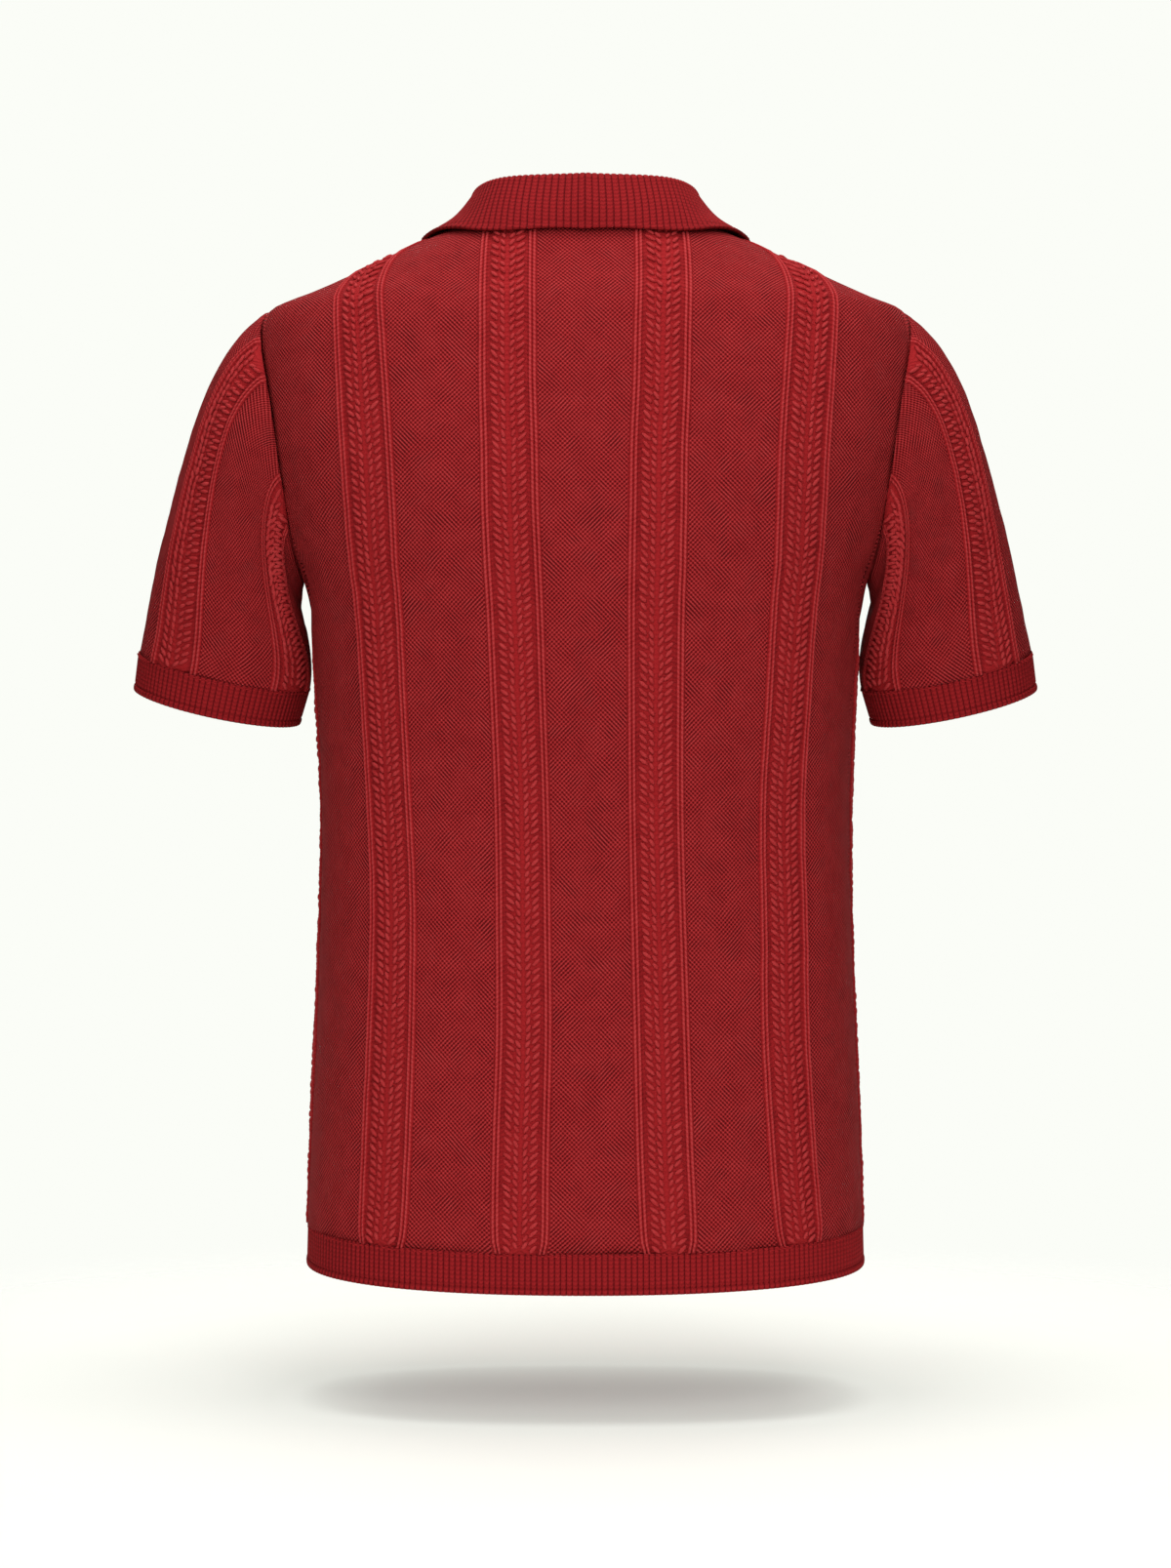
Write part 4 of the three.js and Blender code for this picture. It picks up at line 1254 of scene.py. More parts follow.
class RibbedRing:
    """A ribbed welt round a hem or a cuff, with a groove above its rolled bottom edge."""

    groove_up, groove_half, groove_depth = 4.2, 0.55, 0.55
    bead_up, bead_half, bead_height = 1.8, 2.0, 0.5
    link_down, link_half, link_height = 1.6, 0.7, 0.25
    plain_rows, rolled_part = 9, 6.4
    rolled_rows = (5.4, 4.8, 4.2, 3.6, 3.0, 2.2, 1.2, 0.5, 0.0)

    def __init__(self, name: str, rib: RibPattern, length: float, drop: float) -> None:
        """Keep the ring's sizes.

        Args:
            name: the object's name.
            rib: its ribs.
            length: length round it.
            drop: height of the welt.
        """
        self.name = name
        self.rib = rib
        self.length = length
        self.drop = drop

    def levels(self) -> np.ndarray:
        """Shares of the welt's height at which its grid has rows."""
        plain = np.linspace(0, 1 - self.rolled_part / self.drop, self.plain_rows)
        fine = 1 - np.array(self.rolled_rows) / self.drop
        return np.concatenate([plain, fine])

    def relief(self, share: np.ndarray, index: np.ndarray) -> np.ndarray:
        """Heights over the welt's plain face.

        Args:
            share: share of the way down.
            index: grid column.

        Returns:
            Heights in millimetres.
        """
        up = (1 - share) * self.drop
        groove = bell(up, self.groove_up, self.groove_half)
        bead = dome(up, self.bead_up, self.bead_half)
        link = bell(share * self.drop, self.link_down, self.link_half)
        ribs = self.rib.profile(index) * (1 - 0.85 * groove) * (1 - 0.6 * link)
        edge = self.bead_height * bead - self.groove_depth * groove
        return ribs + edge + self.link_height * link

    def build(
        self,
        place: Callable[[np.ndarray, np.ndarray], tuple[np.ndarray, np.ndarray]],
        mirrored: bool = False,
    ) -> bpy.types.Object:
        """Make the welt.

        Args:
            place: gives points and normals for shares round and shares down.
            mirrored: lay it on the other side.

        Returns:
            The object, with its wall.
        """
        count = self.rib.count(self.length) * self.rib.columns
        index = np.arange(count + 1)
        levels = self.levels()
        share = np.broadcast_to(index[None, :] / count, (len(levels), count + 1))
        down = np.broadcast_to(levels[:, None], share.shape)
        point, normal = place(share.ravel(), down.ravel())
        point = point.reshape(*share.shape, 3)
        normal = normal.reshape(*share.shape, 3)
        raised = self.relief(down, np.broadcast_to(index[None, :], share.shape))
        points = point + normal * raised[..., None]
        points[:, -1] = points[:, 0]
        grid = ClothGrid(
            points,
            share * self.length,
            down * self.drop,
            np.broadcast_to((index % self.rib.columns) * 1.0, share.shape),
            wrap=True,
        )
        welt = ClothMesh(self.name, grid).make(mirrored)
        thicken(welt, WALL)
        return welt


class HemRib(RibbedRing):
    """The welt round the hem."""

    def __init__(self, form: BodyForm) -> None:
        """Measure the hem.

        Args:
            form: the trunk's surface.
        """
        self.form = form
        length = 2 * (form.side_arc[Side.BACK] + form.side_arc[Side.FRONT])
        drop = HEM_SEAM_Z - HEM_END_Z
        super().__init__("hem_rib_knit", RibPattern(3.8), length, drop)

    def place(self, share: np.ndarray, down: np.ndarray) -> tuple[np.ndarray, np.ndarray]:
        """Points and normals on the hem.

        Args:
            share: share of the way round, from one side seam over the back.
            down: share of the welt's height.

        Returns:
            Points and outward normals.
        """
        back, front = self.form.side_arc[Side.BACK], self.form.side_arc[Side.FRONT]
        along = share * self.length - back
        point, normal = np.zeros((len(share), 3)), np.zeros((len(share), 3))
        for side, here in ((Side.BACK, along < back), (Side.FRONT, along >= back)):
            arc = along[here] if side is Side.BACK else back + front - along[here]
            sag = self.form.hem_sag(side, arc)
            z = lerp(HEM_SEAM_Z + 0.15, HEM_END_Z, down[here]) - sag
            point[here] = self.form.point(side, arc, z)
            normal[here] = self.form.normal(side, arc, z)
        return point, normal


class CuffRib(RibbedRing):
    """The welt round one cuff."""

    def __init__(self, name: str, form: SleeveForm) -> None:
        """Measure the cuff.

        Args:
            name: the object's name.
            form: the sleeve's surface.
        """
        self.form = form
        length = math.pi * math.sqrt(2 * (form.end_out**2 + form.end_back**2))
        super().__init__(name, RibPattern(3.6), length, CUFF_LENGTH)

    def place(self, share: np.ndarray, down: np.ndarray) -> tuple[np.ndarray, np.ndarray]:
        """Points and normals on the cuff.

        Args:
            share: share of the way round, from the underarm.
            down: share of the welt's height.

        Returns:
            Points and outward normals.
        """
        form = self.form
        turn = share * 2 - 1
        reach = (CUFF_LENGTH + 0.15) * down - 0.15
        out = lerp(form.end_out, form.cuff_out, down)
        back = lerp(form.end_back, form.cuff_back, down)
        point = form.oval(turn, out, back, reach)
        angle = (turn * math.pi)[:, None]
        normal = form.out * np.cos(angle) / out[:, None] + form.back * np.sin(angle) / back[:, None]
        return point, unit(normal)


@dataclass(frozen=True)
class CollarGuide:
    """Fold line and free edge of the collar's left half at one share of its length."""

    at: float
    fold: tuple[float, float, float]
    edge: tuple[float, float, float]
    bow: float


COLLAR_GUIDES = (
    CollarGuide(0, (0, 66.5, 18.7), (0, 76, -18.2), 2.5),
    CollarGuide(0.22, (57, 46, 18.6), (66, 60, -18.8), 1.5),
    CollarGuide(0.44, (74.5, -2, 13.5), (106, 0, -16), -1.5),
    CollarGuide(0.62, (69, -45, -1), (107, -56, -45), 0),
    CollarGuide(0.8, (51, -77, -29), (94, -92, -86), 2),
    CollarGuide(1, (5, -95, -55), (58, -112, -119), 2.5),
)


class Collar:
    """The ribbed turn-down collar: stand, fold and fall in one sheet."""

    sheet = 2.0
    fold_radius = 2.3
    end_arc = 4.0
    foot_gap = 0.8
    cable_top = 1.2
    rim_in, rim_half, rim_height = 1.4, 1.6, 0.5
    groove_in, groove_half, groove_depth = 3.4, 0.6, 0.3
    neck_steps = {Side.BACK: 40, Side.FRONT: 60}
    front_crowding = 0.6
    ends_length = 250
    fold_share = 1.6
    spare = 0.2
    settling_steps = 4
    key_steps = (5, 3, 3, 5, 9)
    ribs_from, ribs_full = 2, 8

    def __init__(self, form: BodyForm) -> None:
        """Measure the neckline.

        Args:
            form: the trunk's surface.
        """
        self.form = form
        self.rib = RibPattern(3.4, 0.62)
        self.length = 2 * form.neck_arc[Side.BACK] + self.ends_length
        self.edge, self.edge_normal = self.neck_edge()
        length = cumulative(self.edge, 0)
        self.edge_share = length / length[-1]
        at = [guide.at for guide in COLLAR_GUIDES]
        self.fold = [SmoothTable(at, [guide.fold[axis] for guide in COLLAR_GUIDES]) for axis in range(3)]
        self.free = [SmoothTable(at, [guide.edge[axis] for guide in COLLAR_GUIDES]) for axis in range(3)]
        self.bow = SmoothTable(at, [guide.bow for guide in COLLAR_GUIDES])

    def neck_edge(self) -> tuple[np.ndarray, np.ndarray]:
        """Neckline of the left half.

        Returns:
            Points and normals from the middle of the back to the middle of the front.
        """
        back = np.linspace(0, self.form.neck_arc[Side.BACK], self.neck_steps[Side.BACK])
        z = self.form.neck_level(Side.BACK, back)
        points = [self.form.point(Side.BACK, back, z)]
        normals = [self.form.normal(Side.BACK, back, z)]
        turn = np.linspace(1, 0, self.neck_steps[Side.FRONT])[1:] ** self.front_crowding
        front = self.end_arc + (self.form.neck_arc[Side.FRONT] - self.end_arc) * turn
        z = self.form.neck_level(Side.FRONT, front)
        points.append(self.form.point(Side.FRONT, front, z))
        normals.append(self.form.normal(Side.FRONT, front, z))
        return np.concatenate(points), np.concatenate(normals)

    def on_edge(self, at: np.ndarray, table: np.ndarray) -> np.ndarray:
        """Values of a table along the neckline, at shares of its length."""
        return np.stack([np.interp(at, self.edge_share, table[:, axis]) for axis in range(3)], axis=1)

    def outside(self, point: np.ndarray) -> tuple[np.ndarray, np.ndarray]:
        """How far points lie outside the trunk, with the way out.

        Args:
            point: points in millimetres.

        Returns:
            Distances and unit directions.
        """
        def level(place: np.ndarray) -> np.ndarray:
            x, y, z = np.abs(place[:, 0]), place[:, 1], place[:, 2]
            square = self.form.square.at(z)
            front, back = self.form.depth[Side.FRONT].at(z), self.form.depth[Side.BACK].at(z)
            depth = np.where(y < 0, front, back)
            total = (x / self.form.half.at(z)) ** square + (np.abs(y) / depth) ** square
            return total ** (1 / square)

        here = level(point)
        shift = np.eye(3) * 0.5
        way = np.stack([level(point + step) - level(point - step) for step in shift], axis=1)
        steep = np.linalg.norm(way, axis=1)
        return (here - 1) / steep, way / steep[:, None]

    def laid_on(self, point: np.ndarray, clear: float, touching: bool = False) -> np.ndarray:
        """Move points to a distance outside the trunk.

        Args:
            point: points in millimetres.
            clear: the distance.
            touching: pull in what lies farther out too.

        Returns:
            The moved points.
        """
        laid = point.copy()
        for _ in range(self.settling_steps):
            distance, way = self.outside(laid)
            move = clear - distance
            laid += way * (move if touching else np.maximum(move, 0))[:, None]
        return laid

    def section(self, at: np.ndarray) -> np.ndarray:
        """The collar's middle line at shares of its length.

        Args:
            at: shares from -1 to 1, 0 in the middle of the back.

        Returns:
            Six key points for each share: foot, inside, fold, outside, half way and edge.
        """
        place = np.abs(at)
        neck = self.on_edge(place, self.edge)
        normal = unit(self.on_edge(place, self.edge_normal))
        ahead = self.on_edge(np.minimum(place + 0.01, 1), self.edge)
        behind = self.on_edge(np.maximum(place - 0.01, 0), self.edge)
        inward = unit(np.cross(ahead - behind, normal))
        foot = neck - normal * WALL / 2
        fold = np.stack([table.at(place) for table in self.fold], axis=1)
        free = np.stack([table.at(place) for table in self.free], axis=1)
        outward = (free - foot) * np.array([1.0, 1.0, 0.0])
        outward = unit(outward)
        drop = np.array([0, 0, self.fold_radius * self.fold_share])
        inside = fold - outward * self.fold_radius - drop
        outside = fold + outward * self.fold_radius - drop
        tilt = np.linalg.norm(np.cross(unit(inside - foot), inward), axis=1, keepdims=True)
        foot = foot + inward * (self.foot_gap + tilt * self.sheet / 2)
        clear = self.cable_top + SEAM + self.sheet / 2 + self.spare
        bow = self.bow.at(place)[:, None]
        half = self.laid_on(lerp(outside, free, 0.5) + outward * bow, clear)
        edge = self.laid_on(free, clear, touching=True)
        section = np.stack([foot, inside, fold, outside, half, edge])
        section[:, :, 0] *= np.where(at < 0, -1, 1)
        return section

    def grid(self) -> ClothGrid:
        """Lay the collar's grid on its six key lines.

        Returns:
            Its points and what its material reads.
        """
        count = round(self.length / self.rib.pitch / 8) * 8 * self.rib.columns
        at = np.linspace(-1, 1, count + 1)
        keys = self.section(at)
        lines = []
        for start, steps in enumerate(self.key_steps):
            shares = np.linspace(0, 1, steps + 1)[:-1]
            lines += [self.between(keys, start, share) for share in shares]
        lines.append(keys[5])
        middle = np.stack(lines)
        across = np.gradient(middle, axis=1)
        up = np.gradient(middle, axis=0)
        out = -unit(np.cross(up, across))
        length = cumulative(middle, 0)
        left = length[-1:] - length
        index = np.broadcast_to(np.arange(count + 1), left.shape)
        ribs = self.rib.profile(index) * smooth_step(length, self.ribs_from, self.ribs_full)
        rim = dome(left, self.rim_in, self.rim_half)
        groove = bell(left, self.groove_in, self.groove_half)
        ribs = ribs * (1 - 0.8 * groove) * (1 - 0.35 * rim)
        raised = self.sheet / 2 + ribs + self.rim_height * rim
        raised = raised - self.groove_depth * groove
        points = middle + out * raised[..., None]
        arc = np.broadcast_to((at * self.length / 2)[None, :], left.shape)
        return ClothGrid(points, arc, length, (index % self.rib.columns) * 1.0)

    def between(self, keys: np.ndarray, start: int, share: float) -> np.ndarray:
        """A smooth line between two of the six key lines.

        Args:
            keys: the key lines.
            start: the lower one.
            share: share of the way to the next.

        Returns:
            The line's points.
        """
        low, high = keys[start], keys[start + 1]
        before, after = keys[max(start - 1, 0)], keys[min(start + 2, len(keys) - 1)]
        run = np.linalg.norm(high - low, axis=1, keepdims=True)
        leave = unit(high - before) * run
        arrive = unit(after - low) * run
        t = share
        point = low * (1 + 2 * t) * (1 - t) ** 2 + leave * t * (1 - t) ** 2
        return point + high * t * t * (3 - 2 * t) - arrive * t * t * (1 - t)

    def build(self) -> bpy.types.Object:
        """Make the collar.

        Returns:
            The object, with its wall.
        """
        collar = ClothMesh("collar_knit", self.grid()).make()
        thicken(collar, self.sheet)
        return collar


class Placket:
    """The two strips down the middle of the front."""

    lap = 1.8
    bottom_lap = 4.0
    seam_in, bottom_seam_up, seam_half, seam_depth = 2.8, 3, 0.8, 0.35
    border, columns = 0.6, 19
    first_row, rows = 0.005, 48

    def __init__(self, form: BodyForm) -> None:
        """Keep the trunk's surface."""
        self.form = form

    def strip(self, name: str, half: float, bottom: float, lift: float) -> bpy.types.Object:
        """Make one strip.

        Args:
            name: the object's name.
            half: half its width.
            bottom: level of its lower end.
            lift: how far its face lies out from the panel's.

        Returns:
            The object, with its wall.
        """
        inner = half - self.border
        arc = np.concatenate([[-half], np.linspace(-inner, inner, self.columns), [half]])
        share = np.concatenate([[0.0], np.linspace(self.first_row, 1, self.rows)])
        top = self.form.neck_level(Side.FRONT, arc) - SEAM
        z = bottom + (top - bottom) * share[:, None]
        arc = np.broadcast_to(arc, z.shape)
        point = self.form.point(Side.FRONT, arc.ravel(), z.ravel()).reshape(*z.shape, 3)
        normal = self.form.normal(Side.FRONT, arc.ravel(), z.ravel()).reshape(*z.shape, 3)
        inset = half - np.abs(arc)
        raised = lift - self.seam_depth * bell(inset, self.seam_in, self.seam_half)
        up = bell(z - bottom, self.bottom_seam_up, self.seam_half)
        raised = raised - self.seam_depth * up
        points = point + normal * raised[..., None]
        across = np.full(z.shape, CABLE_HALF * 2)
        strip = ClothMesh(name, ClothGrid(points, arc, z - bottom, across)).make()
        thicken(strip)
        return strip

    def build(self) -> tuple[bpy.types.Object, bpy.types.Object]:
        """Make both strips.

        Returns:
            The under strip and the over strip.
        """
        under = self.strip("placket_under_knit", PLACKET_HALF - SEAM, PLACKET_END_Z + SEAM, 0)
        over = self.strip(
            "placket_over_knit",
            PLACKET_HALF + self.lap,
            PLACKET_END_Z - self.bottom_lap,
            SEAM + WALL,
        )
        return under, over


@dataclass(frozen=True)
class ButtonSize:
    """A four-hole shirt button."""

    radius: float = 5.7
    thick: float = 2.6
    hole: float = 0.8
    hole_ring: float = 1.7
    dish: float = 0.6
    well: float = 0.12
    thread_lift: float = 0.28
    thread_past: float = 0.5
    thread_half: tuple[float, float] = (0.42, 0.34)
    levels: tuple[float, ...] = (-92.0, -148.0, -204.0)


class Buttons:
    """The three buttons of the placket, sewn on with crossed thread."""

    def __init__(self, form: BodyForm) -> None:
        """Keep the trunk's surface and the buttons' size."""
        self.form = form
        self.size = ButtonSize()

    def turn(self, level: float) -> Matrix:
        """Place of a button: its back at the origin, its face towards the viewer."""
        at = np.array([0.0]), np.array([level])
        normal = self.form.normal(Side.FRONT, *at)[0]
        spot = self.form.point(Side.FRONT, *at)[0] + normal * (SEAM + WALL + SEAM)
        turned = Vector(normal).to_track_quat("Z", "Y").to_matrix().to_4x4()
        return Matrix.Translation(Vector(spot) * MM) @ turned @ Matrix.Scale(MM, 4)

    def disc(self, number: int, level: float) -> bpy.types.Object:
        """Make one button by turning its section round, the holes as dark wells.

        Args:
            number: the button's number.
            level: its level on the placket.

        Returns:
            The object.
        """
        size = self.size
        section = [
            (0.0, 0.0),
            (size.radius - 0.5, 0.0),
            (size.radius, 0.5),
            (size.radius, size.thick - 0.6),
            (size.radius - 0.35, size.thick - 0.12),
            (size.radius - 1.0, size.thick),
            (size.radius - 1.7, size.thick - 0.25),
            (size.radius - 2.3, size.thick - 0.55),
            (0.0, size.thick - size.dish),
        ]
        bm = bmesh.new()
        verts = [bm.verts.new((x, 0, z)) for x, z in section]
        edges = [bm.edges.new(pair) for pair in zip(verts, verts[1:])]
        bmesh.ops.spin(
            bm,
            geom=[*verts, *edges],
            cent=(0, 0, 0),
            axis=(0, 0, 1),
            angle=2 * math.pi,
            steps=40,
            use_merge=True,
        )
        bmesh.ops.remove_doubles(bm, verts=bm.verts, dist=1e-4)
        bmesh.ops.recalc_face_normals(bm, faces=bm.faces)
        bm.transform(self.turn(level))
        button = finish_mesh(f"button_{number}_disc", bm)
        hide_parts(f"button_{number}")
        return button

    def wells(self, number: int, level: float) -> bpy.types.Object:
        """Make the four hole rims and the thread crossing between them.

        Args:
            number: the button's number.
            level: its level on the placket.

        Returns:
            The object.
        """
        size = self.size
        face = size.thick - size.dish
        bm = bmesh.new()
        for corner in range(4):
            angle = (corner + 0.5) * math.pi / 2
            spot = (size.hole_ring * math.cos(angle), size.hole_ring * math.sin(angle), face)
            bmesh.ops.create_cone(
                bm,
                cap_ends=True,
                segments=12,
                radius1=size.hole,
                radius2=size.hole,
                depth=size.well,
                matrix=Matrix.Translation(spot),
            )
        for angle in (math.pi / 4, -math.pi / 4):
            matrix = Matrix.Translation((0, 0, face + size.thread_lift))
            matrix = matrix @ Matrix.Rotation(angle, 4, "Z")
            half = size.hole_ring + size.thread_past
            matrix = matrix @ Matrix.Diagonal((half, *size.thread_half, 1))
            bmesh.ops.create_uvsphere(bm, u_segments=10, v_segments=6, radius=1, matrix=matrix)
        bm.transform(self.turn(level))
        return finish_mesh(f"button_{number}_thread", bm)


class Wire:
    """A socket of a material's nodes that adds, scales and eases like a number."""

    def __init__(self, shader: "Shader", socket: bpy.types.NodeSocket) -> None:
        """Keep the socket and its shader."""
        self.shader = shader
        self.socket = socket

    def __add__(self, other: "Wire | float") -> "Wire":
        """Sum."""
        return self.shader.math("ADD", self, other)

    __radd__ = __add__

    def __mul__(self, other: "Wire | float") -> "Wire":
        """Product."""
        return self.shader.math("MULTIPLY", self, other)

    __rmul__ = __mul__

    def __sub__(self, other: "Wire | float") -> "Wire":
        """Difference."""
        return self.shader.math("SUBTRACT", self, other)

    def __rsub__(self, other: float) -> "Wire":
        """Difference from a number."""
        return self.shader.math("SUBTRACT", other, self)

    def __truediv__(self, other: "Wire | float") -> "Wire":
        """Quotient."""
        return self.shader.math("DIVIDE", self, other)

    def __pow__(self, other: "Wire | float") -> "Wire":
        """Power."""
        return self.shader.math("POWER", self, other)

    def cosine(self) -> "Wire":
        """Cosine."""
        return self.shader.math("COSINE", self)

    def size(self) -> "Wire":
        """Absolute value."""
        return self.shader.math("ABSOLUTE", self)

    def least(self, other: "Wire | float") -> "Wire":
        """Smaller of two values."""
        return self.shader.math("MINIMUM", self, other)

    def most(self, other: "Wire | float") -> "Wire":
        """Larger of two values."""
        return self.shader.math("MAXIMUM", self, other)

    def ease(self, low: float, high: float) -> "Wire":
        """0 below low, 1 above high, smooth between."""
        settings = {"interpolation_type": "SMOOTHSTEP"}
        node = self.shader.node(
            "ShaderNodeMapRange", settings, {"Value": self, "From Min": low, "From Max": high}
        )
        return Wire(self.shader, node.outputs["Result"])


class Shader:
    """Builds one material's nodes."""

    def __init__(self, name: str) -> None:
        """Start a material with a Principled surface.

        Args:
            name: the material's name.
        """
        self.material = bpy.data.materials.new(name)
        self.material.use_nodes = True
        self.tree = self.material.node_tree
        self.surface = self.tree.nodes["Principled BSDF"]

    def node(self, kind: str, settings: dict, inputs: dict) -> bpy.types.Node:
        """Make any node.

        Args:
            kind: its type.
            settings: its own settings, set first.
            inputs: values or wires by input name or number.

        Returns:
            The node.
        """
        made = self.tree.nodes.new(kind)
        for name, value in settings.items():
            setattr(made, name, value)
        for name, value in inputs.items():
            self.feed(made.inputs[name], value)
        return made

    def feed(self, socket: bpy.types.NodeSocket, value: object) -> None:
        """Connect or set one input."""
        if isinstance(value, Wire):
            self.tree.links.new(value.socket, socket)
        else:
            socket.default_value = value

    def math(self, operation: str, first: object, second: object = 0.0) -> Wire:
        """One sum, product or other operation on numbers."""
        made = self.node("ShaderNodeMath", {"operation": operation}, {0: first, 1: second})
        return Wire(self, made.outputs[0])

    def mix(self, share: Wire | float, low: object, high: object) -> Wire:
        """Mix of two colours."""
        settings = {"data_type": "RGBA"}
        made = self.node("ShaderNodeMix", settings, {"Factor": share, 6: low, 7: high})
        return Wire(self, made.outputs[2])

    def map(self, name: str) -> tuple[Wire, Wire]:
        """The two coordinates of one of the mesh's maps, in metres.

        Args:
            name: the map's name.

        Returns:
            Across and along.
        """
        made = self.node("ShaderNodeUVMap", {"uv_map": name}, {})
        split = self.node("ShaderNodeSeparateXYZ", {}, {0: Wire(self, made.outputs[0])})
        return Wire(self, split.outputs[0]), Wire(self, split.outputs[1])

    def place(self) -> Wire:
        """Coordinates on the object itself."""
        made = self.node("ShaderNodeTexCoord", {}, {})
        return Wire(self, made.outputs["Object"])

    def noise(self, place: Wire, scale: float, detail: float = 2.0) -> Wire:
        """Soft noise between 0 and 1.

        Args:
            place: coordinates.
            scale: repeats a metre.
            detail: finer layers.

        Returns:
            The noise.
        """
        inputs = {"Vector": place, "Scale": scale, "Detail": detail, "Roughness": 0.55}
        made = self.node("ShaderNodeTexNoise", {}, inputs)
        return Wire(self, made.outputs[0])

    def bump(self, height: Wire, distance: float, strength: float = 1.0) -> Wire:
        """Surface directions of a height.

        Args:
            height: heights between 0 and 1.
            distance: their size in metres.
            strength: share of the effect.

        Returns:
            The directions.
        """
        inputs = {"Height": height, "Distance": distance, "Strength": strength}
        made = self.node("ShaderNodeBump", {}, inputs)
        return Wire(self, made.outputs[0])

    def dress(self, inputs: dict) -> bpy.types.Material:
        """Set the surface.

        Args:
            inputs: values or wires by input name.

        Returns:
            The material.
        """
        for name, value in inputs.items():
            self.feed(self.surface.inputs[name], value)
        return self.material


@dataclass(frozen=True)
class Yarn:
    """Colours of the deep-red yarn, in linear light; dark also serves as painted shade and bright as
    painted highlight.
    """

    # dark: yarn tone and painted shade in holes, valleys and rib gaps
    dark: tuple[float, float, float, float] = (0.09, 0.0025, 0.0042, 1)
    middle: tuple[float, float, float, float] = (0.34, 0.0145, 0.0175, 1)
    # bright: yarn tone and painted highlight on ridges and stitch tops
    bright: tuple[float, float, float, float] = (0.47, 0.045, 0.048, 1)
    rough: float = 0.95
    sheen: float = 0.04
    sheen_tint: tuple[float, float, float, float] = (0.6, 0.06, 0.05, 1)

    def finish(self) -> dict:
        """The numbers that all of its surfaces share."""
        return {
            "Roughness": self.rough,
            "Specular IOR Level": 0.08,
            "Sheen Weight": self.sheen,
            "Sheen Roughness": 0.45,
            "Sheen Tint": self.sheen_tint,
        }


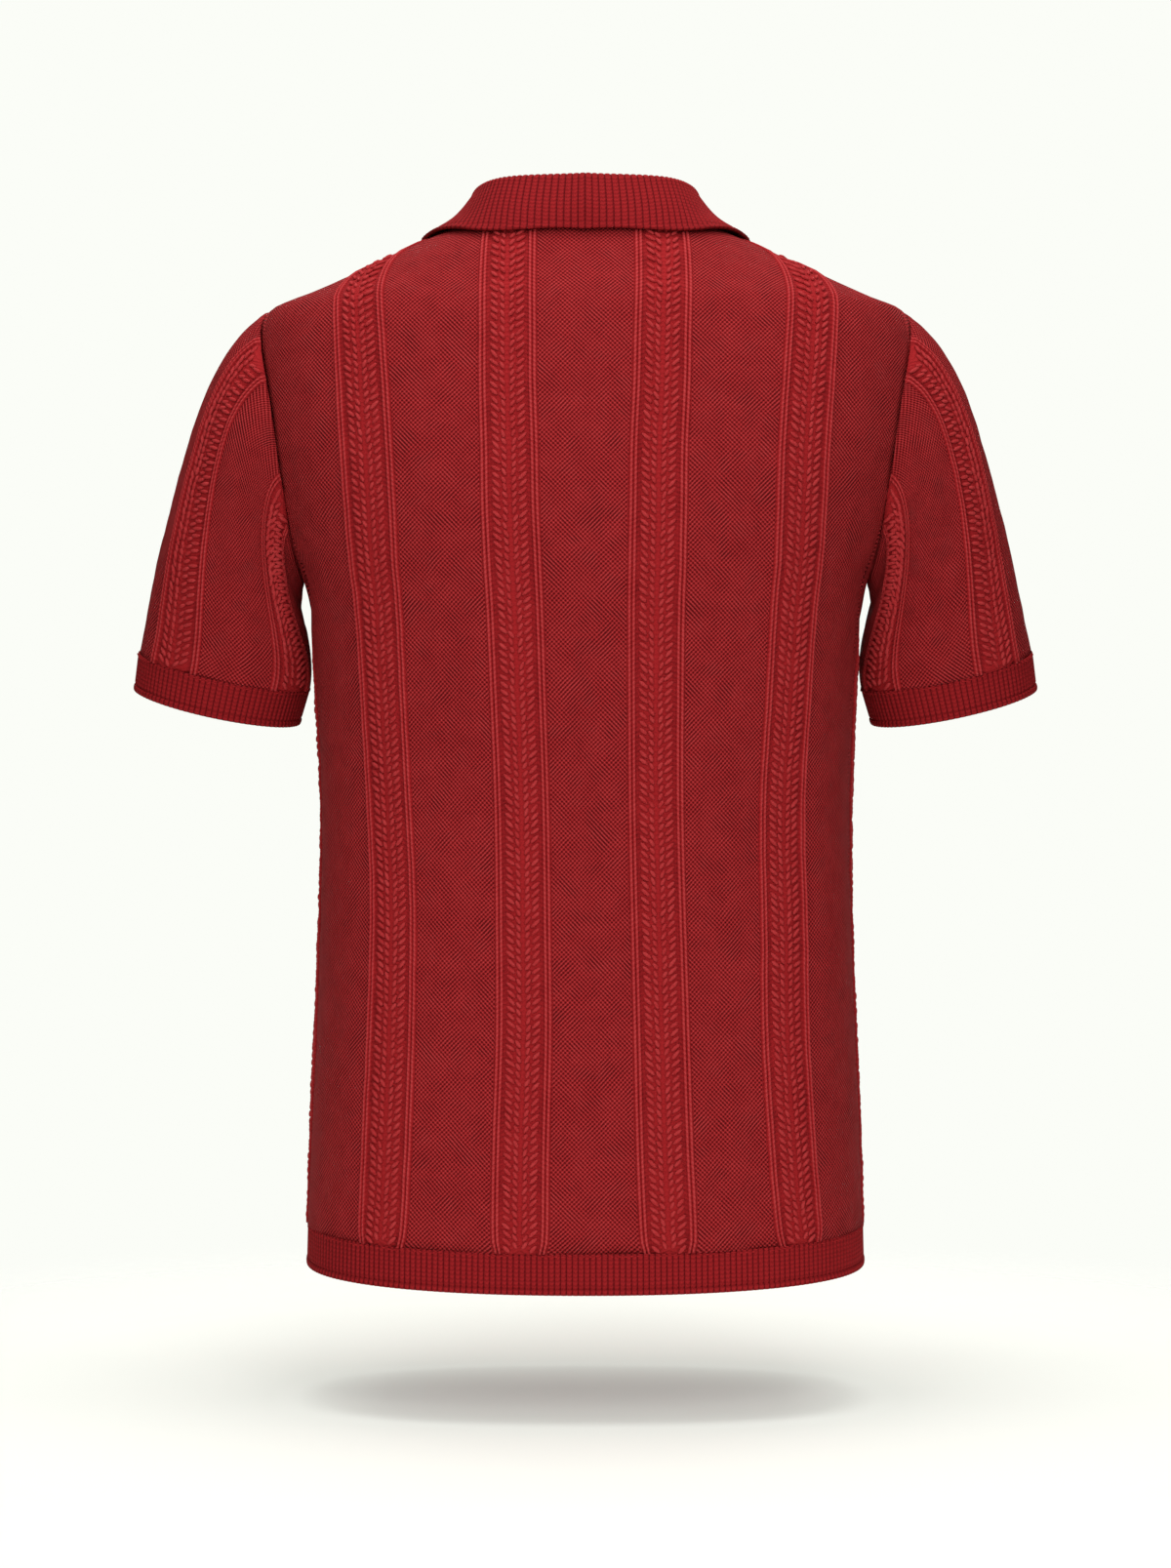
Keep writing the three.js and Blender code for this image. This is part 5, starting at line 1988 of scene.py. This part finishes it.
class Finishes:
    """All the materials of the shirt and its studio."""

    lattice = 2.05
    stitch = 2.7

    def __init__(self) -> None:
        """Make each material once."""
        self.yarn = Yarn()
        self.knit = self.lattice_knit()
        self.plain = self.plain_knit()
        self.braid = self.strand("braid_yarn", 0.22)
        self.rib = self.rib_knit()
        self.thread = self.strand("linking_yarn", 0.0)
        self.button = self.resin()

    def lattice_knit(self) -> bpy.types.Material:
        """The open diagonal ground with the ridges' slanting stitches, painted with shade in its holes
        and highlight on its stitches.

        Returns:
            The material.
        """
        shader = Shader("ground_knit")
        place = shader.place()
        across, along = shader.map("cloth")
        offset, down = shader.map("cable")
        turn = 2 * math.pi / (self.lattice * MM)
        drift = (shader.noise(place, 30, 1.0) - 0.5) * 5.0
        first = (across + along) * (turn * 0.7071) + drift
        second = (across - along) * (turn * 0.7071) + drift * 0.7
        lean = (shader.noise(place, 55, 2.0) - 0.5) * 1.7 + 0.5
        lean = lean.most(0.12).least(0.88)
        waves = first.cosine() * lean + second.cosine() * (1.0 - lean)
        ground = waves * 0.5 + 0.5
        fuzz = shader.noise(place, 1500, 3.0)
        mottle = shader.noise(place, 70, 3.0) - 0.5
        ridge_turn = 2 * math.pi / (3.1 * MM)
        ticks = (down * ridge_turn + offset * 900).cosine() * 0.5 + 0.5
        on_cable = 1.0 - offset.ease(18.9 * MM, 19.5 * MM)
        height = ground * (1.0 - on_cable) + ticks * on_cable * 0.4
        height = height + (fuzz - 0.5) * 0.5
        # painted highlight on the ridges and painted shade in the valleys of each cable column
        ridge_light_and_shade = self.painted_ridge_light(offset)
        # painted shade in the lattice holes and painted highlight on its crossing stitches, from the
        # lattice height
        tone = ground.ease(0.05, 1.0) * 0.9 * (1.0 - on_cable)
        # painted shade between the ridges' stitches, scaled by the painted ridge light
        tone = tone + (ticks * 0.25 + 0.75) * ridge_light_and_shade * on_cable
        tone = tone + (fuzz - 0.5) * 0.45 + mottle * 0.3 + 0.05
        low = shader.mix(tone.ease(0.0, 0.5), self.yarn.dark, self.yarn.middle)
        colour = shader.mix(tone.ease(0.55, 1.05), low, self.yarn.bright)
        inputs = {**self.yarn.finish(), "Base Color": colour}
        inputs["Normal"] = shader.bump(height, 0.9 * MM)
        return shader.dress(inputs)

    def painted_ridge_light(self, offset: Wire) -> Wire:
        """Painted highlight on a cable column's ridges and braid bed, painted shade in its valleys.

        Args:
            offset: distance from the column's middle, in metres.

        Returns:
            Brightness from 0 to 1.
        """
        relief = CableRelief()
        # painted light: each ridge brightened, the valleys left dark, the braid bed a little brighter
        total = 0.32
        for ridge in relief.ridges:
            near = (offset / MM - ridge).size()
            total = (1.0 - near.ease(0.35, relief.ridge_half)) * 0.62 + total
        bed = 1.0 - offset.ease(10.0 * MM, 11.5 * MM)
        return bed * 0.2 + total

    def plain_knit(self) -> bpy.types.Material:
        """The close flat knit of the placket, its furrows painted with shade and its stitch tops with
        highlight.

        Returns:
            The material.
        """
        shader = Shader("placket_knit")
        place = shader.place()
        across, along = shader.map("cloth")
        wale = (across * (2 * math.pi / (1.6 * MM))).cosine() * 0.5 + 0.5
        course = (along * (2 * math.pi / (1.3 * MM))).cosine() * 0.5 + 0.5
        fuzz = shader.noise(place, 1400, 3.0)
        height = wale * 0.6 + course * 0.4 + (fuzz - 0.5) * 0.4
        # colour follows the stitches' height: painted shade in the furrows, painted highlight on the
        # tops
        tone = height.ease(0.0, 1.1)
        colour = shader.mix(tone, self.yarn.dark, self.yarn.bright)
        inputs = {**self.yarn.finish(), "Base Color": colour}
        inputs["Normal"] = shader.bump(height, 0.4 * MM)
        return shader.dress(inputs)

    def strand(self, name: str, lift: float) -> bpy.types.Material:
        """Twisted yarn of a raised stitch.

        Args:
            name: the material's name.
            lift: how much brighter than the ground it is.

        Returns:
            The material.
        """
        shader = Shader(name)
        place = shader.place()
        fuzz = shader.noise(place, 1300, 3.0)
        patch = shader.noise(place, 160, 2.0)
        tone = fuzz * 0.6 + patch * 0.4 + lift
        low = shader.mix(tone.ease(0.2, 0.55), self.yarn.dark, self.yarn.middle)
        colour = shader.mix(tone.ease(0.5, 0.95), low, self.yarn.bright)
        inputs = {**self.yarn.finish(), "Base Color": colour}
        inputs["Normal"] = shader.bump(fuzz, 0.35 * MM)
        return shader.dress(inputs)

    def rib_knit(self) -> bpy.types.Material:
        """The ribs' columns of small V stitches, with painted shade between the ribs and on the low
        parts of the stitches.

        Returns:
            The material.
        """
        shader = Shader("rib_knit")
        place = shader.place()
        column, down = shader.map("cable")
        side = (column / MM - 2.0).size()
        turn = 2 * math.pi / (self.stitch * MM)
        drift = (shader.noise(place, 60, 2.0) - 0.5) * 3.0
        legs = (down * turn + side * 1.5 + drift).cosine() * 0.5 + 0.5
        fuzz = shader.noise(place, 1400, 3.0)
        height = legs * 0.35 + (fuzz - 0.5) * 0.6
        # painted shade: darker in the gap between two ribs
        rib_gap_shade = side.ease(0.7, 2.0)
        # colour follows the stitches' height as painted shade and highlight
        tone = (height.ease(-1.0, 1.0) * 0.76 + 0.02) * (1.0 - rib_gap_shade * 0.75)
        low = shader.mix(tone.ease(0.0, 0.75), self.yarn.dark, self.yarn.middle)
        colour = shader.mix(tone.ease(0.7, 1.2), low, self.yarn.bright)
        inputs = {**self.yarn.finish(), "Base Color": colour}
        inputs["Normal"] = shader.bump(height, 0.5 * MM)
        return shader.dress(inputs)

    def resin(self) -> bpy.types.Material:
        """The buttons' smooth dark resin."""
        shader = Shader("button_resin")
        colour = (0.16, 0.006, 0.01, 1)
        return shader.dress({"Base Color": colour, "Roughness": 0.32, "Coat Weight": 0.2})


class Slot(Enum):
    """Material slots of the part."""

    CLOTH = "cloth"
    RIB = "rib"
    BUTTON = "button"


def wear(piece: bpy.types.Object, material: bpy.types.Material) -> None:
    """Give a piece its material.

    Args:
        piece: the object.
        material: its finish.
    """
    piece.data.materials.append(material)


@dataclass(frozen=True)
class Cut:
    """Flat size of a piece in metres, its shape's share of that, and how it is held."""

    width: float
    length: float
    fill: float
    held: str = "draped"

    def declare(self, piece: bpy.types.Object) -> None:
        """Do nothing with a piece of cloth, which rests on no other part; its cut is not stated."""


class Shirt:
    """The whole shirt, piece by piece."""

    back_cut = Cut(0.505, 0.737, 0.893)
    front_cut = Cut(0.522, 0.766, 0.805)
    sleeve_cut = Cut(0.47, 0.25, 0.49)
    hem_cut = Cut(0.97, 0.026, 1.0, "stretched")
    cuff_cut = Cut(0.335, 0.025, 1.0, "stretched")
    collar_cut = Cut(0.46, 0.095, 0.9, "folded")
    under_cut = Cut(0.0305, 0.153, 1.0)
    over_cut = Cut(0.0346, 0.157, 1.0)

    def __init__(self, finishes: Finishes) -> None:
        """Set out the forms.

        Args:
            finishes: the materials.
        """
        self.finishes = finishes
        self.body = BodyForm()
        self.arm = SleeveForm(self.body)

    def build(self) -> None:
        """Make every piece in the order a maker would."""
        self.build_panel(Side.BACK, "back", self.back_cut, 11)
        self.build_panel(Side.FRONT, "front", self.front_cut, 23)
        self.build_sleeve("left", False, 37)
        self.build_sleeve("right", True, 41)
        self.build_hem()
        self.build_collar()
        self.build_placket()
        self.build_buttons()
        self.build_links()

    def build_panel(self, side: Side, node: str, cut: Cut, seed: int) -> None:
        """Make one body panel and its braids.

        Args:
            side: back or front.
            node: its solid in the part.
            cut: its flat size.
            seed: seed of its unevenness.
        """
        panel = Panel(self.body, side, seed)
        cloth = panel.build()
        wear(cloth, self.finishes.knit)
        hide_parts(node)
        cut.declare(cloth)
        braids = panel.stitches()
        wear(braids, self.finishes.braid)
        LOG.info("%s panel with its braids", node)

    def build_sleeve(self, side: str, mirrored: bool, seed: int) -> None:
        """Make one sleeve with its braids and its cuff.

        Args:
            side: left or right.
            mirrored: whether it is the right one.
            seed: seed of its unevenness.
        """
        sleeve = Sleeve(self.arm, seed)
        cloth = sleeve.build(f"sleeve_{side}_knit", mirrored)
        wear(cloth, self.finishes.knit)
        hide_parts(f"sleeve_{side}")
        self.sleeve_cut.declare(cloth)
        braids = sleeve.stitches(f"sleeve_{side}_braids", mirrored)
        wear(braids, self.finishes.braid)
        cuff = CuffRib(f"cuff_{side}_knit", self.arm)
        welt = cuff.build(cuff.place, mirrored)
        wear(welt, self.finishes.rib)
        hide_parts(f"cuff_{side}")
        self.cuff_cut.declare(welt)
        LOG.info("%s sleeve, braids and cuff", side)

    def build_hem(self) -> None:
        """Make the hem's welt."""
        hem = HemRib(self.body)
        welt = hem.build(hem.place)
        wear(welt, self.finishes.rib)
        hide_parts("hem_rib")
        self.hem_cut.declare(welt)
        LOG.info("hem rib")

    def build_collar(self) -> None:
        """Make the collar."""
        collar = Collar(self.body).build()
        wear(collar, self.finishes.rib)
        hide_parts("collar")
        self.collar_cut.declare(collar)
        LOG.info("collar")

    def build_placket(self) -> None:
        """Make the placket's two strips."""
        under, over = Placket(self.body).build()
        for strip, node, cut in (
            (under, "placket_under", self.under_cut),
            (over, "placket_over", self.over_cut),
        ):
            wear(strip, self.finishes.plain)
            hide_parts(node)
            cut.declare(strip)
        LOG.info("placket")

    def build_buttons(self) -> None:
        """Make the buttons and their thread."""
        buttons = Buttons(self.body)
        for number, level in enumerate(buttons.size.levels, start=1):
            wear(buttons.disc(number, level), self.finishes.button)
            wear(buttons.wells(number, level), self.finishes.thread)
        LOG.info("buttons")

    def build_links(self) -> None:
        """Lay the linking stitches on top of the hem and the cuffs, and round the armholes."""
        stitcher = Stitcher("linking_stitches", 77)
        hem = HemRib(self.body)
        self.link_ring(stitcher, hem, 4.4, 1.5)
        for sign in (1, -1):
            cuff = CuffRib("cuff", self.arm)
            self.link_ring(stitcher, cuff, 4.2, 1.4, sign)
        links = stitcher.make()
        wear(links, self.finishes.thread)
        LOG.info("linking stitches")

    def link_ring(
        self, stitcher: Stitcher, ring: RibbedRing, pitch: float, half: float, sign: int = 1
    ) -> None:
        """Lay one row of flat stitches round a welt's top edge.

        Args:
            stitcher: where the stitches go.
            ring: the welt.
            pitch: distance from stitch to stitch.
            half: half a stitch's length.
            sign: -1 lays them on the other side of the shirt.
        """
        count = round(ring.length / pitch)
        share = (np.arange(count) + 0.5) / count
        down = np.full(count, 1.4 / ring.drop)
        point, normal = ring.place(share, down)
        ahead = ring.place(share + 0.4 / count, down)[0]
        flip = np.array([float(sign), 1.0, 1.0])
        for spot, out, way in zip(point + normal * 0.75, normal, unit(ahead - point)):
            stitcher.lay(spot * flip, out * flip, way * flip, 4.0, (half, 0.55, 0.5))


def flat_sheet(
    name: str, matrix: Matrix, size: float, material: bpy.types.Material
) -> bpy.types.Object:
    """Put one flat square sheet into the scene.

    Args:
        name: the object's name.
        matrix: its place, turn and stretch.
        size: half its side in metres.
        material: its finish.

    Returns:
        The object.
    """
    bm = bmesh.new()
    bmesh.ops.create_grid(bm, x_segments=1, y_segments=1, size=size, matrix=matrix)
    mesh = bpy.data.meshes.new(name)
    bm.to_mesh(mesh)
    bm.free()
    mesh.materials.append(material)
    sheet = bpy.data.objects.new(name, mesh)
    bpy.context.scene.collection.objects.link(sheet)
    return sheet


class Studio:
    """Floor, world, lights and camera of the photograph."""

    light = (0.985, 1.0, 0.95, 1)
    world_strength = 0.98
    floor_half = 14
    floor_glow = 0.19
    fade_from, fade_to = 0.38, 0.85
    flag_out, flag_back, flag_level = 0.77, 0.1, -0.2
    flag_half_high, flag_half_deep = 0.55, 0.75
    aim_level = -0.35
    floor_level = -0.783
    camera_height = -0.376
    camera_distance = 2.4
    lens = 82.7

    def build(self) -> None:
        """Set the stage."""
        self.world()
        self.floor()
        self.flags()
        self.lights()
        self.camera()

    def world(self) -> None:
        """Light the whole scene softly from all round."""
        world = bpy.data.worlds.new("studio")
        world.use_nodes = True
        ground = world.node_tree.nodes["Background"]
        ground.inputs["Color"].default_value = self.light
        ground.inputs["Strength"].default_value = self.world_strength
        bpy.context.scene.world = world
        bpy.context.scene.view_settings.view_transform = "Standard"

    def floor(self) -> None:
        """Lay a pale floor that fades into the backdrop away from the shirt."""
        shader = Shader("floor_paper")
        paper = {"Base Color": (0.9, 0.91, 0.87, 1), "Roughness": 0.95}
        glow = {"Emission Color": self.light, "Emission Strength": self.floor_glow}
        split = shader.node("ShaderNodeSeparateXYZ", {}, {0: shader.place()})
        right, back = Wire(shader, split.outputs[0]), Wire(shader, split.outputs[1])
        away = (right * right + back * back) ** 0.5
        fade = {"Alpha": 1.0 - away.ease(self.fade_from, self.fade_to)}
        matrix = Matrix.Translation((0, 0, self.floor_level))
        finish = shader.dress({**paper, **glow, **fade})
        floor = flat_sheet("floor", matrix, self.floor_half, finish)

    def flags(self) -> None:
        """Stand a dark board on each side, unseen, which keeps the shirt's sides deep."""
        shader = Shader("flag_cloth")
        dark = shader.dress({"Base Color": (0.02, 0.02, 0.02, 1), "Roughness": 1.0})
        stretch = Matrix.Diagonal((self.flag_half_high, self.flag_half_deep, 1, 1))
        turn = Matrix.Rotation(math.pi / 2, 4, "Y") @ stretch
        for side in (-1, 1):
            spot = (side * self.flag_out, self.flag_back, self.flag_level)
            flag = flat_sheet(f"flag_{side + 2}", Matrix.Translation(spot) @ turn, 1, dark)
            flag.visible_camera = False

    def lamp(self, name: str, spot: tuple[float, float, float], size: float, power: float) -> None:
        """Hang one square soft light that looks at the shirt.

        Args:
            name: the light's name.
            spot: where it hangs.
            size: its side.
            power: its power in watts.
        """
        data = bpy.data.lights.new(name, "AREA")
        data.size = size
        data.energy = power
        lamp = bpy.data.objects.new(name, data)
        lamp.location = spot
        aim = Vector((0, 0, self.aim_level)) - Vector(spot)
        lamp.rotation_euler = aim.to_track_quat("-Z", "Y").to_euler()
        bpy.context.scene.collection.objects.link(lamp)

    def lights(self) -> None:
        """Hang the lights: a broad one over the camera, two at its sides."""
        self.lamp("key", (-0.5, 2.4, 1.2), 1.2, 14)
        self.lamp("fill", (0.7, 2.5, 0.5), 1.2, 6)
        self.lamp("top", (0.0, 0.2, 2.0), 1.2, 22)

    def camera(self) -> None:
        """Place the camera behind the shirt."""
        data = bpy.data.cameras.new("camera")
        data.lens = self.lens
        data.sensor_width = 36
        data.sensor_fit = "AUTO"
        data.dof.use_dof = False
        camera = bpy.data.objects.new("camera", data)
        camera.location = (0, self.camera_distance, self.camera_height)
        camera.rotation_euler = (math.pi / 2, 0, math.pi)
        bpy.context.scene.collection.objects.link(camera)
        bpy.context.scene.camera = camera


def main() -> None:
    """Dress the part and set the studio."""
    logging.basicConfig(level=logging.INFO)
    Shirt(Finishes()).build()
    Studio().build()


if __name__ == "__main__":
    main()
